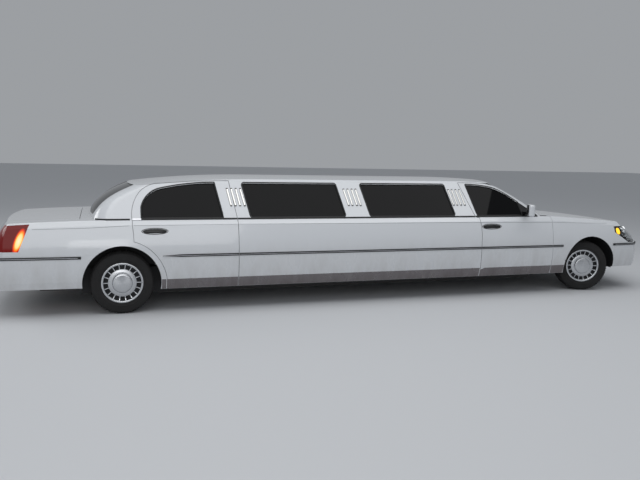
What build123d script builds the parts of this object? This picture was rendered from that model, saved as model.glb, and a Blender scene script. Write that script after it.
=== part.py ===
"""A white stretch limousine: a full-size saloon cut behind the front doors and lengthened.

It is an assembly of body panels, doors, lids, glass, lamps, frame, running gear and cabin pieces.
Row frame, millimetres: X forward, Y to the left, Z up. The origin is on the ground, midway along
the car and on its centre plane. Both front wheels stand turned to the right, as parked.
"""
from build123d import *
import os
from math import cos, radians, sin

os.makedirs("parts", exist_ok=True)

# Driving dimensions
stretch = 3048                 # length let in behind the front doors
saloon_length = 5469
saloon_wheelbase = 2990
front_overhang = 1095
half_width = 993
roof_height = 1475
track_front = 1610
track_rear = 1659
tyre_radius = 338
tyre_width = 225
parked_steer = -18             # degrees about +Z, to the car's right

# Places along the car
overall_length = saloon_length + stretch
wheelbase = saloon_wheelbase + stretch
x_nose = overall_length / 2
x_tail = -overall_length / 2
x_front_axle = x_nose - front_overhang
x_rear_axle = x_front_axle - wheelbase
axle_z = tyre_radius

# Heights of the body's lines
sill_z = 262                   # lower edge of the doors
trim_z = 372                   # top of the bright sill trim
waist_z = 640                  # widest line of the side
crease_z = 958
belt_z = 1013                  # foot of the side windows
rail_z = 1428                  # door tops, where the roof panel starts
pillar_top_z = 1330            # where the rear roof pillars meet the roof panel
bumper_top_z = 655
lamp_top_z = 872

# Gaps and walls
shut_gap = 5                   # between panels that move apart
seat_gap = 0.3                 # between pieces that seat on each other
door_thickness = 112
liner_thickness = 22           # pillar liner behind the door edges
frame_thickness = 46           # wall of the cabin above the belt
panel_thickness = 34           # fenders, hood and boot lid with their inner panels
glass_thickness = 6
glass_inset = 12               # glass behind the outer face

# Section of the body side, inwards from the widest line
bottom_tuck = 46
trim_tuck = 16
crease_tuck = 56
side_tumble = 103
shoulder_radius = 18
cabin_slope = 0.605            # inward lean of the side windows, per unit of height

# Floor and tunnel
floor_bottom = 260.3
floor_thickness = 16
floor_top = floor_bottom + floor_thickness
tunnel_half = 150
tunnel_top = 420
tunnel_wall = 12

# Wheel arches
arch_radius = 408
liner_radius = 420
liner_wall = 5


def at_rear(dx):
    """X of a place given from the rear axle."""
    return x_rear_axle + dx


def at_front(dx):
    """X of a place given from the front axle."""
    return x_front_axle + dx


def mirrored(shape):
    return mirror(shape, about=Plane.XZ)


def pair(shape):
    """A piece on the right side with its mirror image on the left."""
    return Compound(list(shape.solids()) + list(mirrored(shape).solids()))


def largest(shape):
    """The main solid of a cut, without slivers."""
    return max(shape.solids(), key=lambda s: s.volume)


def clean_solids(shape, least=20000):
    """All solids of a cut but slivers, least volume in cubic millimetres."""
    solids = [s for s in shape.solids() if s.volume > least]
    return solids[0] if len(solids) == 1 else Compound(solids)


def block(x0, x1, y0, y1, z0, z1):
    return Pos((x0 + x1) / 2, (y0 + y1) / 2, (z0 + z1) / 2) * Box(x1 - x0, y1 - y0, z1 - z0)


def side_face(lines, grow=0.0):
    """A closed outline in the XZ plane, given as edges drawn in (x, z)."""
    face = make_face(Curve() + lines)
    return offset(face, grow) if grow else face


def side_prism(face, y0, y1, lean=0.0):
    """A face drawn in (x, z) run along Y from y0 to y1, its x moving by lean for each unit of Y."""
    placed = Plane(origin=(0, y0, 0), x_dir=(1, 0, 0), z_dir=(0, -1, 0)) * face
    return extrude(placed, amount=(y1 - y0) * (1 + lean ** 2) ** 0.5, dir=(lean, 1, 0))


def polygon(points, radius=0.0):
    face = make_face(Polyline(*points, close=True))
    return fillet(face.vertices(), radius) if radius else face


# Outer form of the lower body

def body_section(x, half, shoulder_z, crown_z, inset=0.0):
    """The closed outline of the lower body across the car at one station."""
    w = half - inset
    crease_drop = belt_z - crease_z
    bottom = (w - bottom_tuck, sill_z)
    trim = (w - trim_tuck, trim_z)
    waist = (w, waist_z)
    crease = (w - crease_tuck, shoulder_z - crease_drop)
    shoulder = (w - side_tumble, shoulder_z - inset)

    def left(p):
        return (-p[0], p[1])

    outline = [
        Line(left(bottom), bottom),
        Line(bottom, trim),
        ThreePointArc(trim, waist, crease),
        Line(crease, shoulder),
        ThreePointArc(shoulder, (0, crown_z - inset), left(shoulder)),
        Line(left(shoulder), left(crease)),
        ThreePointArc(left(crease), left(waist), left(trim)),
        Line(left(trim), left(bottom)),
    ]
    face = make_face(Curve() + outline)
    corners = [v for v in face.vertices() if abs(v.Y - (shoulder_z - inset)) < 0.01]
    return Plane.YZ.offset(x) * fillet(corners, shoulder_radius)


# x from the axle, half width, shoulder z, crown z
front_stations = [
    (-560, 993, 1013, 1036),
    (-150, 991, 985, 1006),
    (300, 978, 948, 966),
    (700, 946, 905, 920),
    (1150, 890, 832, 845),
]
rear_stations = [
    (60, 993, 1013, 1036),
    (-300, 991, 1010, 1026),
    (-800, 980, 996, 1008),
    (-1390, 944, 962, 972),
]
x_clip_front = at_front(front_stations[0][0])
x_clip_rear = at_rear(rear_stations[0][0])


def clip_solid(stations, origin, inset):
    """A front or rear clip: a smooth loft through its stations."""
    spare = half_width - stations[0][1]
    return loft([body_section(origin + dx, hw + spare, sz, cz, inset) for dx, hw, sz, cz in stations])


def end_outline(z, x_end, sagitta, corner, x_back, half):
    """Plan outline of the nose or the tail at one height: a bowed end with rounded corners."""
    forward = 1 if x_end > x_back else -1
    x_edge = x_end - forward * sagitta
    face = make_face(Curve() + [
        Line((x_back, -half), (x_edge, -half)),
        ThreePointArc((x_edge, -half), (x_end, 0), (x_edge, half)),
        Line((x_edge, half), (x_back, half)),
        Line((x_back, half), (x_back, -half)),
    ])
    ends = [v for v in face.vertices() if abs(v.X - x_edge) < 0.01]
    return Pos(0, 0, z) * fillet(ends, corner)


def end_solid(levels, x_tip, x_back, half, sagitta, corner, inset=0.0):
    """Smooth stack of plan outlines; each level: z, how far its end lies behind the tip."""
    forward = 1 if x_tip > x_back else -1
    outlines = [
        end_outline(z, x_tip - forward * (behind + inset), sagitta, corner - inset, x_back, half - inset)
        for z, behind in levels
    ]
    return loft(outlines)


# z, distance behind the tip
nose_levels = [(180, 40), (640, 40), (720, 95), (800, 190), (870, 290), (1080, 620)]
tail_levels = [(180, 60), (640, 60), (760, 80), (880, 125), (970, 190), (1080, 330)]
front_bumper_levels = [(320, 52), (400, 18), (500, 9), (600, 12), (bumper_top_z, 36)]
rear_bumper_levels = [(300, 56), (400, 18), (500, 8), (600, 11), (bumper_top_z, 30)]
nose_half = 965
nose_sagitta = 280
nose_corner = 430
tail_half = 996
tail_sagitta = 95
tail_corner = 230


def front_solid(inset=0.0):
    clip = clip_solid(front_stations, x_front_axle, inset)
    back = x_clip_front - 20
    return clip & end_solid(nose_levels, x_nose, back, nose_half + 28, nose_sagitta, nose_corner, inset)


def rear_solid(inset=0.0):
    clip = clip_solid(rear_stations, x_rear_axle, inset)
    back = x_clip_rear + 20
    return clip & end_solid(tail_levels, x_tail, back, tail_half, tail_sagitta, tail_corner, inset)


def middle_solid(inset=0.0):
    _, half, shoulder_z, crown_z = rear_stations[0]
    section = body_section(x_clip_rear, half, shoulder_z, crown_z, inset)
    return extrude(section, amount=x_clip_front - x_clip_rear, dir=(1, 0, 0))


# Outer form of the cabin above the belt

# z, rear end from the rear axle, front end from the front axle
cabin_levels = [(1000, -352, -578), (1200, -225, -850), (1350, 40, -1110), (1510, 620, -1470)]
cabin_sagitta_rear = 90
cabin_sagitta_front = 130
cabin_corner_rear = 170
cabin_corner_front = 150
roof_arc_radius = 11000
roof_crown = 30
x_roof_arc_rear = at_rear(1500)
x_roof_arc_front = at_front(-2000)


def cabin_half(z, inset=0.0):
    return half_width - side_tumble - (z - belt_z) * cabin_slope - inset * (1 + cabin_slope ** 2) ** 0.5


def cabin_outline(z, x_rear, x_front, inset):
    half = cabin_half(z, inset)
    rear_edge = x_rear + cabin_sagitta_rear
    front_edge = x_front - cabin_sagitta_front
    face = make_face(Curve() + [
        Line((rear_edge, -half), (front_edge, -half)),
        ThreePointArc((front_edge, -half), (x_front, 0), (front_edge, half)),
        Line((front_edge, half), (rear_edge, half)),
        ThreePointArc((rear_edge, half), (x_rear, 0), (rear_edge, -half)),
    ])
    front = [v for v in face.vertices() if v.X > 0]
    face = fillet(front, cabin_corner_front - inset)
    rear = [v for v in face.vertices() if abs(v.X - rear_edge) < 0.01]
    return Pos(0, 0, z) * fillet(rear, cabin_corner_rear - inset)


def roof_block(inset):
    """A long block with the roof's top: crowned across, level along the middle, arched at both ends."""
    top = roof_height - inset
    wide = half_width
    foot = belt_z - 60
    section = make_face(Curve() + [
        Line((-wide, foot), (wide, foot)),
        Line((wide, foot), (wide, top - roof_crown * 2.2)),
        ThreePointArc((wide, top - roof_crown * 2.2), (0, top), (-wide, top - roof_crown * 2.2)),
        Line((-wide, top - roof_crown * 2.2), (-wide, foot)),
    ])
    level = extrude(Plane.YZ.offset(x_roof_arc_rear) * section, amount=x_roof_arc_front - x_roof_arc_rear,
                    dir=(1, 0, 0))
    turn = 12
    rear_axis = Axis((x_roof_arc_rear, 0, roof_height - roof_arc_radius), (0, 1, 0))
    front_axis = Axis((x_roof_arc_front, 0, roof_height - roof_arc_radius), (0, 1, 0))
    rear = revolve(Plane.YZ.offset(x_roof_arc_rear) * section, rear_axis, -turn)
    front = revolve(Plane.YZ.offset(x_roof_arc_front) * section, front_axis, turn)
    return rear + level + front


def cabin_solid(inset=0.0):
    outlines = [cabin_outline(z, at_rear(r) + inset * 1.25, at_front(f) - inset * 1.7, inset)
                for z, r, f in cabin_levels]
    return loft(outlines) & roof_block(inset)


# Doors, drawn in (x, z) at the widest line of the side. A door turns about a post at its front edge,
# so its rear edges lean forward inside, or its inner corner would foul the pillar on the way out.

rear_door_front = at_rear(1253)
rear_door_rear = at_rear(119)
front_door_front = at_front(-617)
front_door_rear = at_front(-1680)
arch_shut_radius = 466         # the rear door's edge along the wheel arch
rear_door_lean = 0.42
front_door_lean = 0.36
pillar_lean = 0.19             # rearward lean of the pillars, per unit of height
pillar_width = 318
glass_foot_z = belt_z + 13
glass_top_z = 1402
glass_corner = 26
side_reach = 560               # how far in the side cuts run, from the centre plane


def door_front_outline(front, slope_points, grow):
    """Region behind a door's front edge."""
    far = front - 1700
    points = [(far, sill_z), (front, sill_z), (front, belt_z - 3)] + slope_points + [(far, rail_z)]
    return side_face([Polyline(*points, close=True)], grow)


def rear_door_back_outline(grow):
    """Region ahead of the rear door's rear edge, which follows the wheel arch below."""
    drop = arch_shut_radius ** 2 - (rear_door_rear - x_rear_axle) ** 2
    arch_top = (rear_door_rear, axle_z + drop ** 0.5)
    arch_foot = (x_rear_axle + arch_shut_radius, axle_z)
    half_way = radians(36)
    arch_mid = (x_rear_axle + arch_shut_radius * cos(half_way), axle_z + arch_shut_radius * sin(half_way))
    waist_foot = (at_rear(74), belt_z - 8)
    far = rear_door_front + 300
    return side_face([
        Line((far, sill_z), (arch_foot[0], sill_z)),
        Line((arch_foot[0], sill_z), arch_foot),
        ThreePointArc(arch_foot, arch_mid, arch_top),
        ThreePointArc(arch_top, (at_rear(103), 900), waist_foot),
        ThreePointArc(waist_foot, (at_rear(44), 1170), (at_rear(72), 1285)),
        ThreePointArc((at_rear(72), 1285), (at_rear(132), 1352), (at_rear(262), 1392)),
        Line((at_rear(262), 1392), (at_rear(640), 1420)),
        Line((at_rear(640), 1420), (at_rear(1000), rail_z)),
        Line((at_rear(1000), rail_z), (far, rail_z)),
        Line((far, rail_z), (far, sill_z)),
    ], grow)


def front_door_back_outline(grow):
    """Region ahead of the front door's rear edge, which leans back above the belt."""
    far = front_door_front + 300
    return side_face([
        Line((far, sill_z), (front_door_rear, sill_z)),
        Line((front_door_rear, sill_z), (front_door_rear, 780)),
        ThreePointArc((front_door_rear, 780), (front_door_rear - 12, 900),
                      (front_door_rear - 37, belt_z - 8)),
        Line((front_door_rear - 37, belt_z - 8), (at_front(-1772), belt_z + 4)),
        Line((at_front(-1772), belt_z + 4), (at_front(-2000), rail_z)),
        Line((at_front(-2000), rail_z), (far, rail_z)),
        Line((far, rail_z), (far, sill_z)),
    ], grow)


rear_door_slope = [(at_rear(1190), rail_z)]
front_door_slope = [
    (at_front(-738), belt_z + 3), (at_front(-906), 1160), (at_front(-1080), 1274),
    (at_front(-1272), 1378), (at_front(-1470), 1420), (at_front(-1640), rail_z),
]


def door_region(front, slope_points, back_outline, lean, grow=0.0):
    outer = -half_width - 60
    straight = side_prism(door_front_outline(front, slope_points, grow), outer, -side_reach)
    leaning = side_prism(back_outline(grow), outer, -side_reach, lean)
    return straight & Pos(-60 * lean, 0, 0) * leaning


def rear_door_region(grow=0.0):
    return door_region(rear_door_front, rear_door_slope, rear_door_back_outline, rear_door_lean, grow)


def front_door_region(grow=0.0):
    return door_region(front_door_front, front_door_slope, front_door_back_outline, front_door_lean, grow)


# Side windows, drawn in (x, z)

def leaning_window(x0, x1, grow):
    shift = (glass_top_z - glass_foot_z) * pillar_lean
    face = polygon([(x0, glass_foot_z), (x1, glass_foot_z), (x1 - shift, glass_top_z),
                    (x0 - shift, glass_top_z)], glass_corner)
    return offset(face, grow) if grow else face


def rear_door_window(grow=0.0):
    shift = (glass_top_z - glass_foot_z) * pillar_lean
    front_foot = (rear_door_front - pillar_width / 2, glass_foot_z)
    front_top = (front_foot[0] - shift, glass_top_z)
    return side_face([
        Line((at_rear(210), glass_foot_z), front_foot),
        Line(front_foot, front_top),
        ThreePointArc(front_top, (at_rear(720), 1385), (at_rear(430), 1338)),
        ThreePointArc((at_rear(430), 1338), (at_rear(278), 1255), (at_rear(214), 1140)),
        Line((at_rear(214), 1140), (at_rear(210), glass_foot_z)),
    ], grow)


# The front door's glass ends at a solid corner of the door, which carries the mirror
mirror_corner_foot = (at_front(-1035), glass_foot_z)
mirror_corner_top = (at_front(-1060), 1185)


def front_door_window(grow=0.0):
    shift = (glass_top_z - glass_foot_z) * pillar_lean
    rear_foot = (at_front(-1700), glass_foot_z)
    return side_face([
        Line(rear_foot, mirror_corner_foot),
        Line(mirror_corner_foot, mirror_corner_top),
        Line(mirror_corner_top, (at_front(-1218), 1288)),
        ThreePointArc((at_front(-1218), 1288), (at_front(-1322), 1338), (at_front(-1438), 1374)),
        ThreePointArc((at_front(-1438), 1374), (at_front(-1600), 1395), (rear_foot[0] - shift, glass_top_z)),
        Line((rear_foot[0] - shift, glass_top_z), rear_foot),
    ], grow)


glazed_from = rear_door_front - pillar_width / 2
glazed_to = at_front(-1700)
pane_length = (glazed_to - glazed_from - 3 * pillar_width) / 2
pane_starts = [glazed_from + pillar_width, glazed_from + 2 * pillar_width + pane_length]


def stretch_window(x0, grow=0.0):
    return leaning_window(x0, x0 + pane_length, grow)


def window_hole(face):
    return side_prism(face, -half_width, -side_reach + 40)


def front_pane_hole(half_foot, half_top, z_foot, z_top, x0, x1, grow=0.0):
    """Opening of the windscreen or the rear window, drawn across the car and run along it."""
    face = polygon([(-half_foot, z_foot), (half_foot, z_foot), (half_top, z_top), (-half_top, z_top)], 60)
    face = offset(face, grow) if grow else face
    return extrude(Plane.YZ.offset(x0) * face, amount=x1 - x0, dir=(1, 0, 0))


windscreen_size = (768, 560, belt_z + 25, 1432)
rear_window_size = (690, 540, belt_z + 35, 1372)
x_windscreen_top = at_front(-1900)
x_rear_window_foot = at_rear(-600)
x_rear_window_top = at_rear(560)

# Cabin shell and its glass

cabin_outer = cabin_solid()
cabin_wall = cabin_outer - cabin_solid(frame_thickness)
cabin_pane = cabin_solid(glass_inset) - cabin_solid(glass_inset + glass_thickness)
windscreen_hole = front_pane_hole(*windscreen_size, x_windscreen_top, x_nose)
rear_window_hole = front_pane_hole(*rear_window_size, x_rear_window_foot, x_rear_window_top)
cabin_frame = cabin_wall - windscreen_hole - rear_window_hole

rear_gap_region = rear_door_region(shut_gap)
front_gap_region = front_door_region(shut_gap)


def right_half(shape, reach=side_reach - 60):
    return shape & block(x_tail - 50, x_nose + 50, -half_width - 300, -reach, 0, roof_height + 50)


middle_outer = middle_solid()
side_inner = half_width - side_tumble - door_thickness
below_belt = block(x_tail, x_nose, -half_width - 50, -side_inner, sill_z - 1, belt_z)
side_slab = (middle_outer - middle_solid(door_thickness)) & below_belt
pillar_slab_depth = door_thickness + liner_thickness
pillar_inner = side_inner - liner_thickness
pillar_slab = (middle_outer - middle_solid(pillar_slab_depth)) & block(
    x_tail, x_nose, -half_width - 50, -pillar_inner, sill_z - 1, belt_z)
pillar_liner = pillar_slab & middle_solid(door_thickness + seat_gap) & block(
    x_tail, x_nose, -side_inner + seat_gap, -pillar_inner, sill_z - 1, belt_z) + (
    (middle_solid(door_thickness + seat_gap) - middle_solid(pillar_slab_depth)) & block(
        x_tail, x_nose, -half_width, -pillar_inner, sill_z - 1, belt_z - door_thickness))
right_frame = right_half(cabin_frame)

# Doors

def door_shell(region, window):
    """A door slab with its window frame above the belt."""
    return largest((side_slab & region) + ((right_frame & region) - window_hole(window())))


def handle_recess(x):
    """Oval hand recess with the grip left standing across it."""
    oval = SlotOverall(handle_length, handle_height)
    placed = Plane(origin=(x, -half_width - 20, handle_z), x_dir=(1, 0, 0), z_dir=(0, -1, 0)) * oval
    return extrude(placed, amount=60, dir=(0, 1, 0))


handle_length = 245
handle_height = 46
handle_z = 896
handle_inset = 225             # handle centre ahead of the door's rear edge


x_mirror = at_front(-1045)
mirror_y = -half_width - 72
mirror_z = 1108
mirror_depth = 78
mirror_width = 170
mirror_height = 150
mirror_sweep = 22              # degrees its outer end is swept back
mirror_corner = 34
mirror_edge = 26
arm_z = 1061
arm_half = 25
arm_root = 20                  # how deep the arm runs into the door's corner


def mirror_housing():
    """Door mirror: a rounded head, its outer end swept back, on a short arm from the door's corner."""
    x_arm = mirror_corner_foot[0] + arm_half
    arm = block(x_arm - arm_half, x_arm + arm_half, mirror_y + 30, arm_root - cabin_half(arm_z),
                arm_z - 15, arm_z + 15)
    head = Box(mirror_depth, mirror_width, mirror_height)
    head = fillet(head.edges().filter_by(Axis.Z), mirror_corner)
    head = fillet(head.edges().filter_by(GeomType.LINE).filter_by(Axis.Y), mirror_edge)
    return arm + Pos(x_mirror, mirror_y, mirror_z) * Rot(0, 0, -mirror_sweep) * head


rear_door = door_shell(rear_door_region(), rear_door_window)
front_door = door_shell(front_door_region(), front_door_window) + mirror_housing()
rear_door = largest(rear_door - handle_recess(rear_door_rear + handle_inset))
front_door = largest(front_door - handle_recess(front_door_rear + handle_inset - 75))


def pane(outline):
    """Side glass filling a window, seat_gap clear of its frame."""
    return largest(right_half(cabin_pane) & window_hole(outline))


side_panes = {
    "rear_door_glass": pane(rear_door_window(-seat_gap)),
    "front_door_glass": pane(front_door_window(-seat_gap)),
}
for name, shape in (("rear_door", rear_door), ("front_door", front_door)):
    export_step(shape, f"parts/{name}_right.step")
    export_step(mirrored(shape), f"parts/{name}_left.step")
for name, shape in side_panes.items():
    export_step(shape, f"parts/{name}_right.step")
    export_step(mirrored(shape), f"parts/{name}_left.step")

# Stretched body sides: three pillars and two windows between the doors

flange_reach = 28              # pillar liner behind a door's edge
x_roof_pillar_rear = at_rear(1190)


def side_panel():
    span = block(rear_door_front + shut_gap, front_door_rear + 80, -half_width - 50, -side_reach,
                 sill_z - 1, rail_z)
    lower = (pillar_slab & span) - front_gap_region - rear_gap_region
    upper_span = block(x_roof_pillar_rear + seat_gap, at_front(-1650), -half_width, -side_reach + 60,
                       belt_z - 13, rail_z)
    upper = (right_frame & upper_span) - front_gap_region - rear_gap_region
    for x0 in pane_starts:
        upper -= window_hole(stretch_window(x0))
    liner = pillar_liner & block(rear_door_front - flange_reach, front_door_rear + flange_reach,
                                 -half_width, -side_reach, sill_z, belt_z)
    return largest(lower + upper + liner)


export_step(pair(side_panel()), "parts/stretch_side_panels.step")
stretch_glass = [pane(stretch_window(x0, -seat_gap)) for x0 in pane_starts]
export_step(Compound([s for g in stretch_glass for s in (g, mirrored(g))]), "parts/stretch_side_glass.step")

# Roof panel

above_roof = roof_height + 9
roof_span = (block(x_roof_pillar_rear, x_nose, -half_width, half_width, rail_z + seat_gap, above_roof)
             + block(x_tail, x_roof_pillar_rear, -half_width, half_width, pillar_top_z + seat_gap,
                     above_roof))


def cut_both_sides(shape, *regions):
    for region in regions:
        shape = shape - region - mirrored(region)
    return shape


roof = largest(cut_both_sides(cabin_frame & roof_span, rear_gap_region, front_gap_region))
export_step(roof, "parts/roof_panel.step")

# Windscreen, rear window and the frame round the windscreen with its hinge posts and bulkhead

windscreen = largest(cabin_pane & front_pane_hole(*windscreen_size, x_windscreen_top, x_nose, -seat_gap))
rear_window = largest(cabin_pane & front_pane_hole(*rear_window_size, x_rear_window_foot, x_rear_window_top,
                                                   -seat_gap))
export_step(windscreen, "parts/windscreen.step")
export_step(rear_window, "parts/rear_window.step")

bulkhead_thickness = 28
x_bulkhead = x_clip_front - bulkhead_thickness
fender_rear = front_door_front + shut_gap
post_depth = panel_thickness + seat_gap
hood_rear = at_front(-560)
hood_side_rear = 800
hood_side_front = 700


x_cowl = at_front(-740)
rail_notch_y = 500             # the frame rails' slots in the bulkhead
rail_notch_half = 75
rail_notch_top = 380
bracket_y = 680                # hood hinge brackets
bracket_half = 40
tie_foot_z = 940               # foot of the beam between the hinge posts


def windscreen_frame():
    post_span = block(at_front(-1800), x_nose, -half_width, half_width, 1000, rail_z)
    posts = cut_both_sides(cabin_frame & post_span, front_gap_region)
    inside = middle_solid(post_depth)
    span = block(fender_rear, x_clip_front, -half_width, half_width, sill_z, belt_z + 40)
    hinge_posts = (inside - middle_solid(pillar_slab_depth)) & span & block(
        x_tail, x_nose, -half_width, -pillar_inner, sill_z, belt_z)
    liner = pillar_liner & block(front_door_front - flange_reach, x_clip_front, -half_width, -side_reach,
                                 sill_z, belt_z)
    bulkhead = inside & block(x_bulkhead, x_clip_front, -half_width, half_width, floor_top + seat_gap,
                              belt_z - 20)
    x0, x1 = x_bulkhead - 1, x_clip_front + 1
    bulkhead -= block(x0, x1, -tunnel_half, tunnel_half, 0, tunnel_top - tunnel_wall)
    notch = block(x0, x1, -rail_notch_y - rail_notch_half, -rail_notch_y + rail_notch_half, 0, rail_notch_top)
    bulkhead = bulkhead - notch - mirrored(notch)
    cowl = (middle_outer - middle_solid(panel_thickness)) & block(
        x_cowl, x_clip_front, -hood_side_rear, hood_side_rear, 900, belt_z + 60)
    cowl = cut_both_sides(cowl - cabin_outer, front_gap_region)
    bracket = front_solid(post_depth) & block(x_clip_front - 4, x_clip_front + 70, -bracket_y - bracket_half,
                                              -bracket_y + bracket_half, 860, belt_z + 60)
    tie_half = side_inner + 60
    tie = inside & block(x_cowl, x_clip_front, -tie_half, tie_half, tie_foot_z, belt_z - 18)
    tie += middle_outer & block(x_cowl, x_clip_front, -hood_side_rear, hood_side_rear, tie_foot_z,
                                belt_z - 3)
    tie = cut_both_sides(tie, front_gap_region)
    one_side = hinge_posts + liner + bracket
    return largest(posts + one_side + mirrored(one_side) + bulkhead + tie + cowl)


export_step(windscreen_frame(), "parts/windscreen_frame.step")

# Front end: fenders, hood, lamps, grille, bumper

front_outer = front_solid()
front_shell = front_outer - front_solid(panel_thickness)
fender_root = (middle_outer - middle_solid(panel_thickness)) & block(
    fender_rear, x_clip_front, -half_width - 50, -hood_side_rear - seat_gap, 0, roof_height)
lamp_inner = 343
front_foot_z = bumper_top_z + seat_gap


def arch(x, radius, y_in=side_reach - 60, y_out=half_width + 60):
    """A wheel arch's round volume on the right side."""
    return Pos(x, -(y_in + y_out) / 2, axle_z) * Rot(90, 0, 0) * Cylinder(radius, y_out - y_in)


def hood_plan(grow=0.0):
    face = polygon([(hood_rear, -hood_side_rear), (x_nose, -hood_side_front), (x_nose, hood_side_front),
                    (hood_rear, hood_side_rear)])
    face = offset(face, grow) if grow else face
    return extrude(Pos(0, 0, lamp_top_z) * face, amount=400)


def lamp_outline(grow=0.0):
    return side_face([Polyline(
        (at_front(400), lamp_top_z), (at_front(412), 792), (at_front(530), 722),
        (at_front(640), front_foot_z), (x_nose + 50, front_foot_z), (x_nose + 50, lamp_top_z),
        close=True)], grow)


lamp_band = side_prism(lamp_outline(), -half_width - 50, half_width + 50)
hood = largest((front_shell & hood_plan()) & block(hood_rear + shut_gap, x_nose, -half_width, half_width,
                                                   lamp_top_z + shut_gap, roof_height))
export_step(hood, "parts/hood.step")

fender_skin = front_shell & block(x_clip_front, x_nose + 50, -half_width - 50, 0, 0, roof_height)
fender = (fender_skin + fender_root) & block(fender_rear, x_nose, -half_width - 50, -lamp_inner, sill_z,
                                             roof_height)
fender = fender - hood_plan(shut_gap) - side_prism(lamp_outline(seat_gap), -half_width - 50, half_width + 50)
fender = fender - block(at_front(150), x_nose + 60, -half_width - 60, half_width, 0, front_foot_z)
fender = largest(fender - arch(x_front_axle, arch_radius) - cabin_outer)
export_step(pair(fender), "parts/front_fenders.step")

lamp_depth = 60
core_outline = end_outline(front_foot_z - 1, x_nose - 350, nose_sagitta, nose_corner, x_clip_front, 740)
nose_core = extrude(core_outline, amount=300)
front_lamp = largest((front_outer & lamp_band) & block(at_front(380), x_nose, -half_width, -lamp_inner, 0,
                                                       roof_height) - nose_core)
export_step(pair(front_lamp), "parts/headlamps.step")

grille_half = lamp_inner - seat_gap
grille_bar_count = 23
grille_bar = 7
grille_rim = 16


def grille():
    """A rounded frame filled with upright bars, following the nose."""
    band = (front_outer - front_solid(lamp_depth)) & block(at_front(600), x_nose, -grille_half, grille_half,
                                                           front_foot_z, lamp_top_z)
    openings = []
    clear = 2 * (grille_half - grille_rim)
    pitch = (clear + grille_bar) / grille_bar_count
    for i in range(grille_bar_count):
        y0 = -grille_half + grille_rim + i * pitch
        openings.append(block(at_front(600), x_nose + 50, y0, y0 + pitch - grille_bar,
                              front_foot_z + grille_rim, lamp_top_z - grille_rim))
    return largest(band - Compound(openings))


export_step(grille(), "parts/grille.step")

bumper_depth = panel_thickness


def bumper(stations, origin, levels, x_tip, x_back, half, sagitta, corner, axle_x, z_top):
    clip = clip_solid(stations, origin, 0.0)
    inner_clip = clip_solid(stations, origin, bumper_depth)
    outer = clip & end_solid(levels, x_tip, x_back, half, sagitta, corner)
    inner = inner_clip & end_solid([(z - 40 if i == 0 else z, b) for i, (z, b) in enumerate(levels)],
                                   x_tip, x_back, half, sagitta, corner, bumper_depth)
    forward = 1 if x_tip > 0 else -1
    x_edge = axle_x + forward * 150
    x0, x1 = sorted((x_edge, x_tip + forward * 60))
    span = block(x0, x1, -half_width - 60, half_width + 60, levels[0][0], z_top)
    wheel = arch(axle_x, arch_radius)
    return largest((outer - inner) & span - wheel - mirrored(wheel))


front_bumper = bumper(front_stations, x_front_axle, front_bumper_levels, x_nose, x_clip_front - 20,
                      nose_half + 28, nose_sagitta, nose_corner, x_front_axle, bumper_top_z)
export_step(front_bumper, "parts/front_bumper.step")

# Rear end: body shell with the quarter panels, boot lid, lamps, bumper

rear_outer = rear_solid()
rear_shell = rear_outer - rear_solid(panel_thickness)
lid_half = 722
x_lid_front = at_rear(-425)
lid_foot_z = bumper_top_z + 40


def lid_region(grow=0.0):
    face = polygon([(x_lid_front, -lid_half), (x_tail - 60, -lid_half), (x_tail - 60, lid_half),
                    (x_lid_front, lid_half)])
    face = offset(face, grow) if grow else face
    return extrude(Pos(0, 0, lid_foot_z - grow) * face, amount=500)


plate_width = 312
plate_height = 160
plate_z = 790
plate_hole_spacing = 177.8
plate_hole_radius = 3.5
plate_hole_rise = 45
plate_x = x_tail + 132
pocket_wall = 14


def plate_block(x0, x1, rim):
    half_w, half_h = plate_width / 2 + rim, plate_height / 2 + rim
    return block(x0, x1, -half_w, half_w, plate_z - half_h, plate_z + half_h)


def boot_lid():
    """Lid with its drop at the tail and a flat pocket for the number plate."""
    pocket = rear_outer & plate_block(x_tail, plate_x + pocket_wall, pocket_wall)
    lid = (rear_shell & lid_region()) + pocket
    lid -= plate_block(x_tail - 60, plate_x, 0)
    for y in (-plate_hole_spacing / 2, plate_hole_spacing / 2):
        hole = Pos(plate_x, y, plate_z + plate_hole_rise) * Rot(0, 90, 0) * Cylinder(plate_hole_radius, 60)
        lid -= hole
    return largest(lid)


tail_lamp_foot = 702
tail_lamp_top = 976            # at the lamp's front edge; it falls with the shoulder towards the tail
tail_lamp_fall = 31
lid_bracket_y = 630
lid_bracket_half = 35
lid_bracket_z = 935


def tail_lamp_outline(grow=0.0):
    return side_face([Polyline(
        (at_rear(-906), tail_lamp_top), (at_rear(-1012), tail_lamp_foot), (x_tail - 60, tail_lamp_foot),
        (x_tail - 60, tail_lamp_top - tail_lamp_fall), close=True)], grow)


tail_band = side_prism(tail_lamp_outline(), -half_width - 60, half_width + 60)
tail_lamp = largest((rear_outer - rear_solid(lamp_depth)) & tail_band & block(
    x_tail, x_rear_axle, -half_width - 60, -lid_half - shut_gap - seat_gap, 0, roof_height))
export_step(pair(tail_lamp), "parts/tail_lamps.step")
export_step(boot_lid(), "parts/boot_lid.step")


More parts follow.
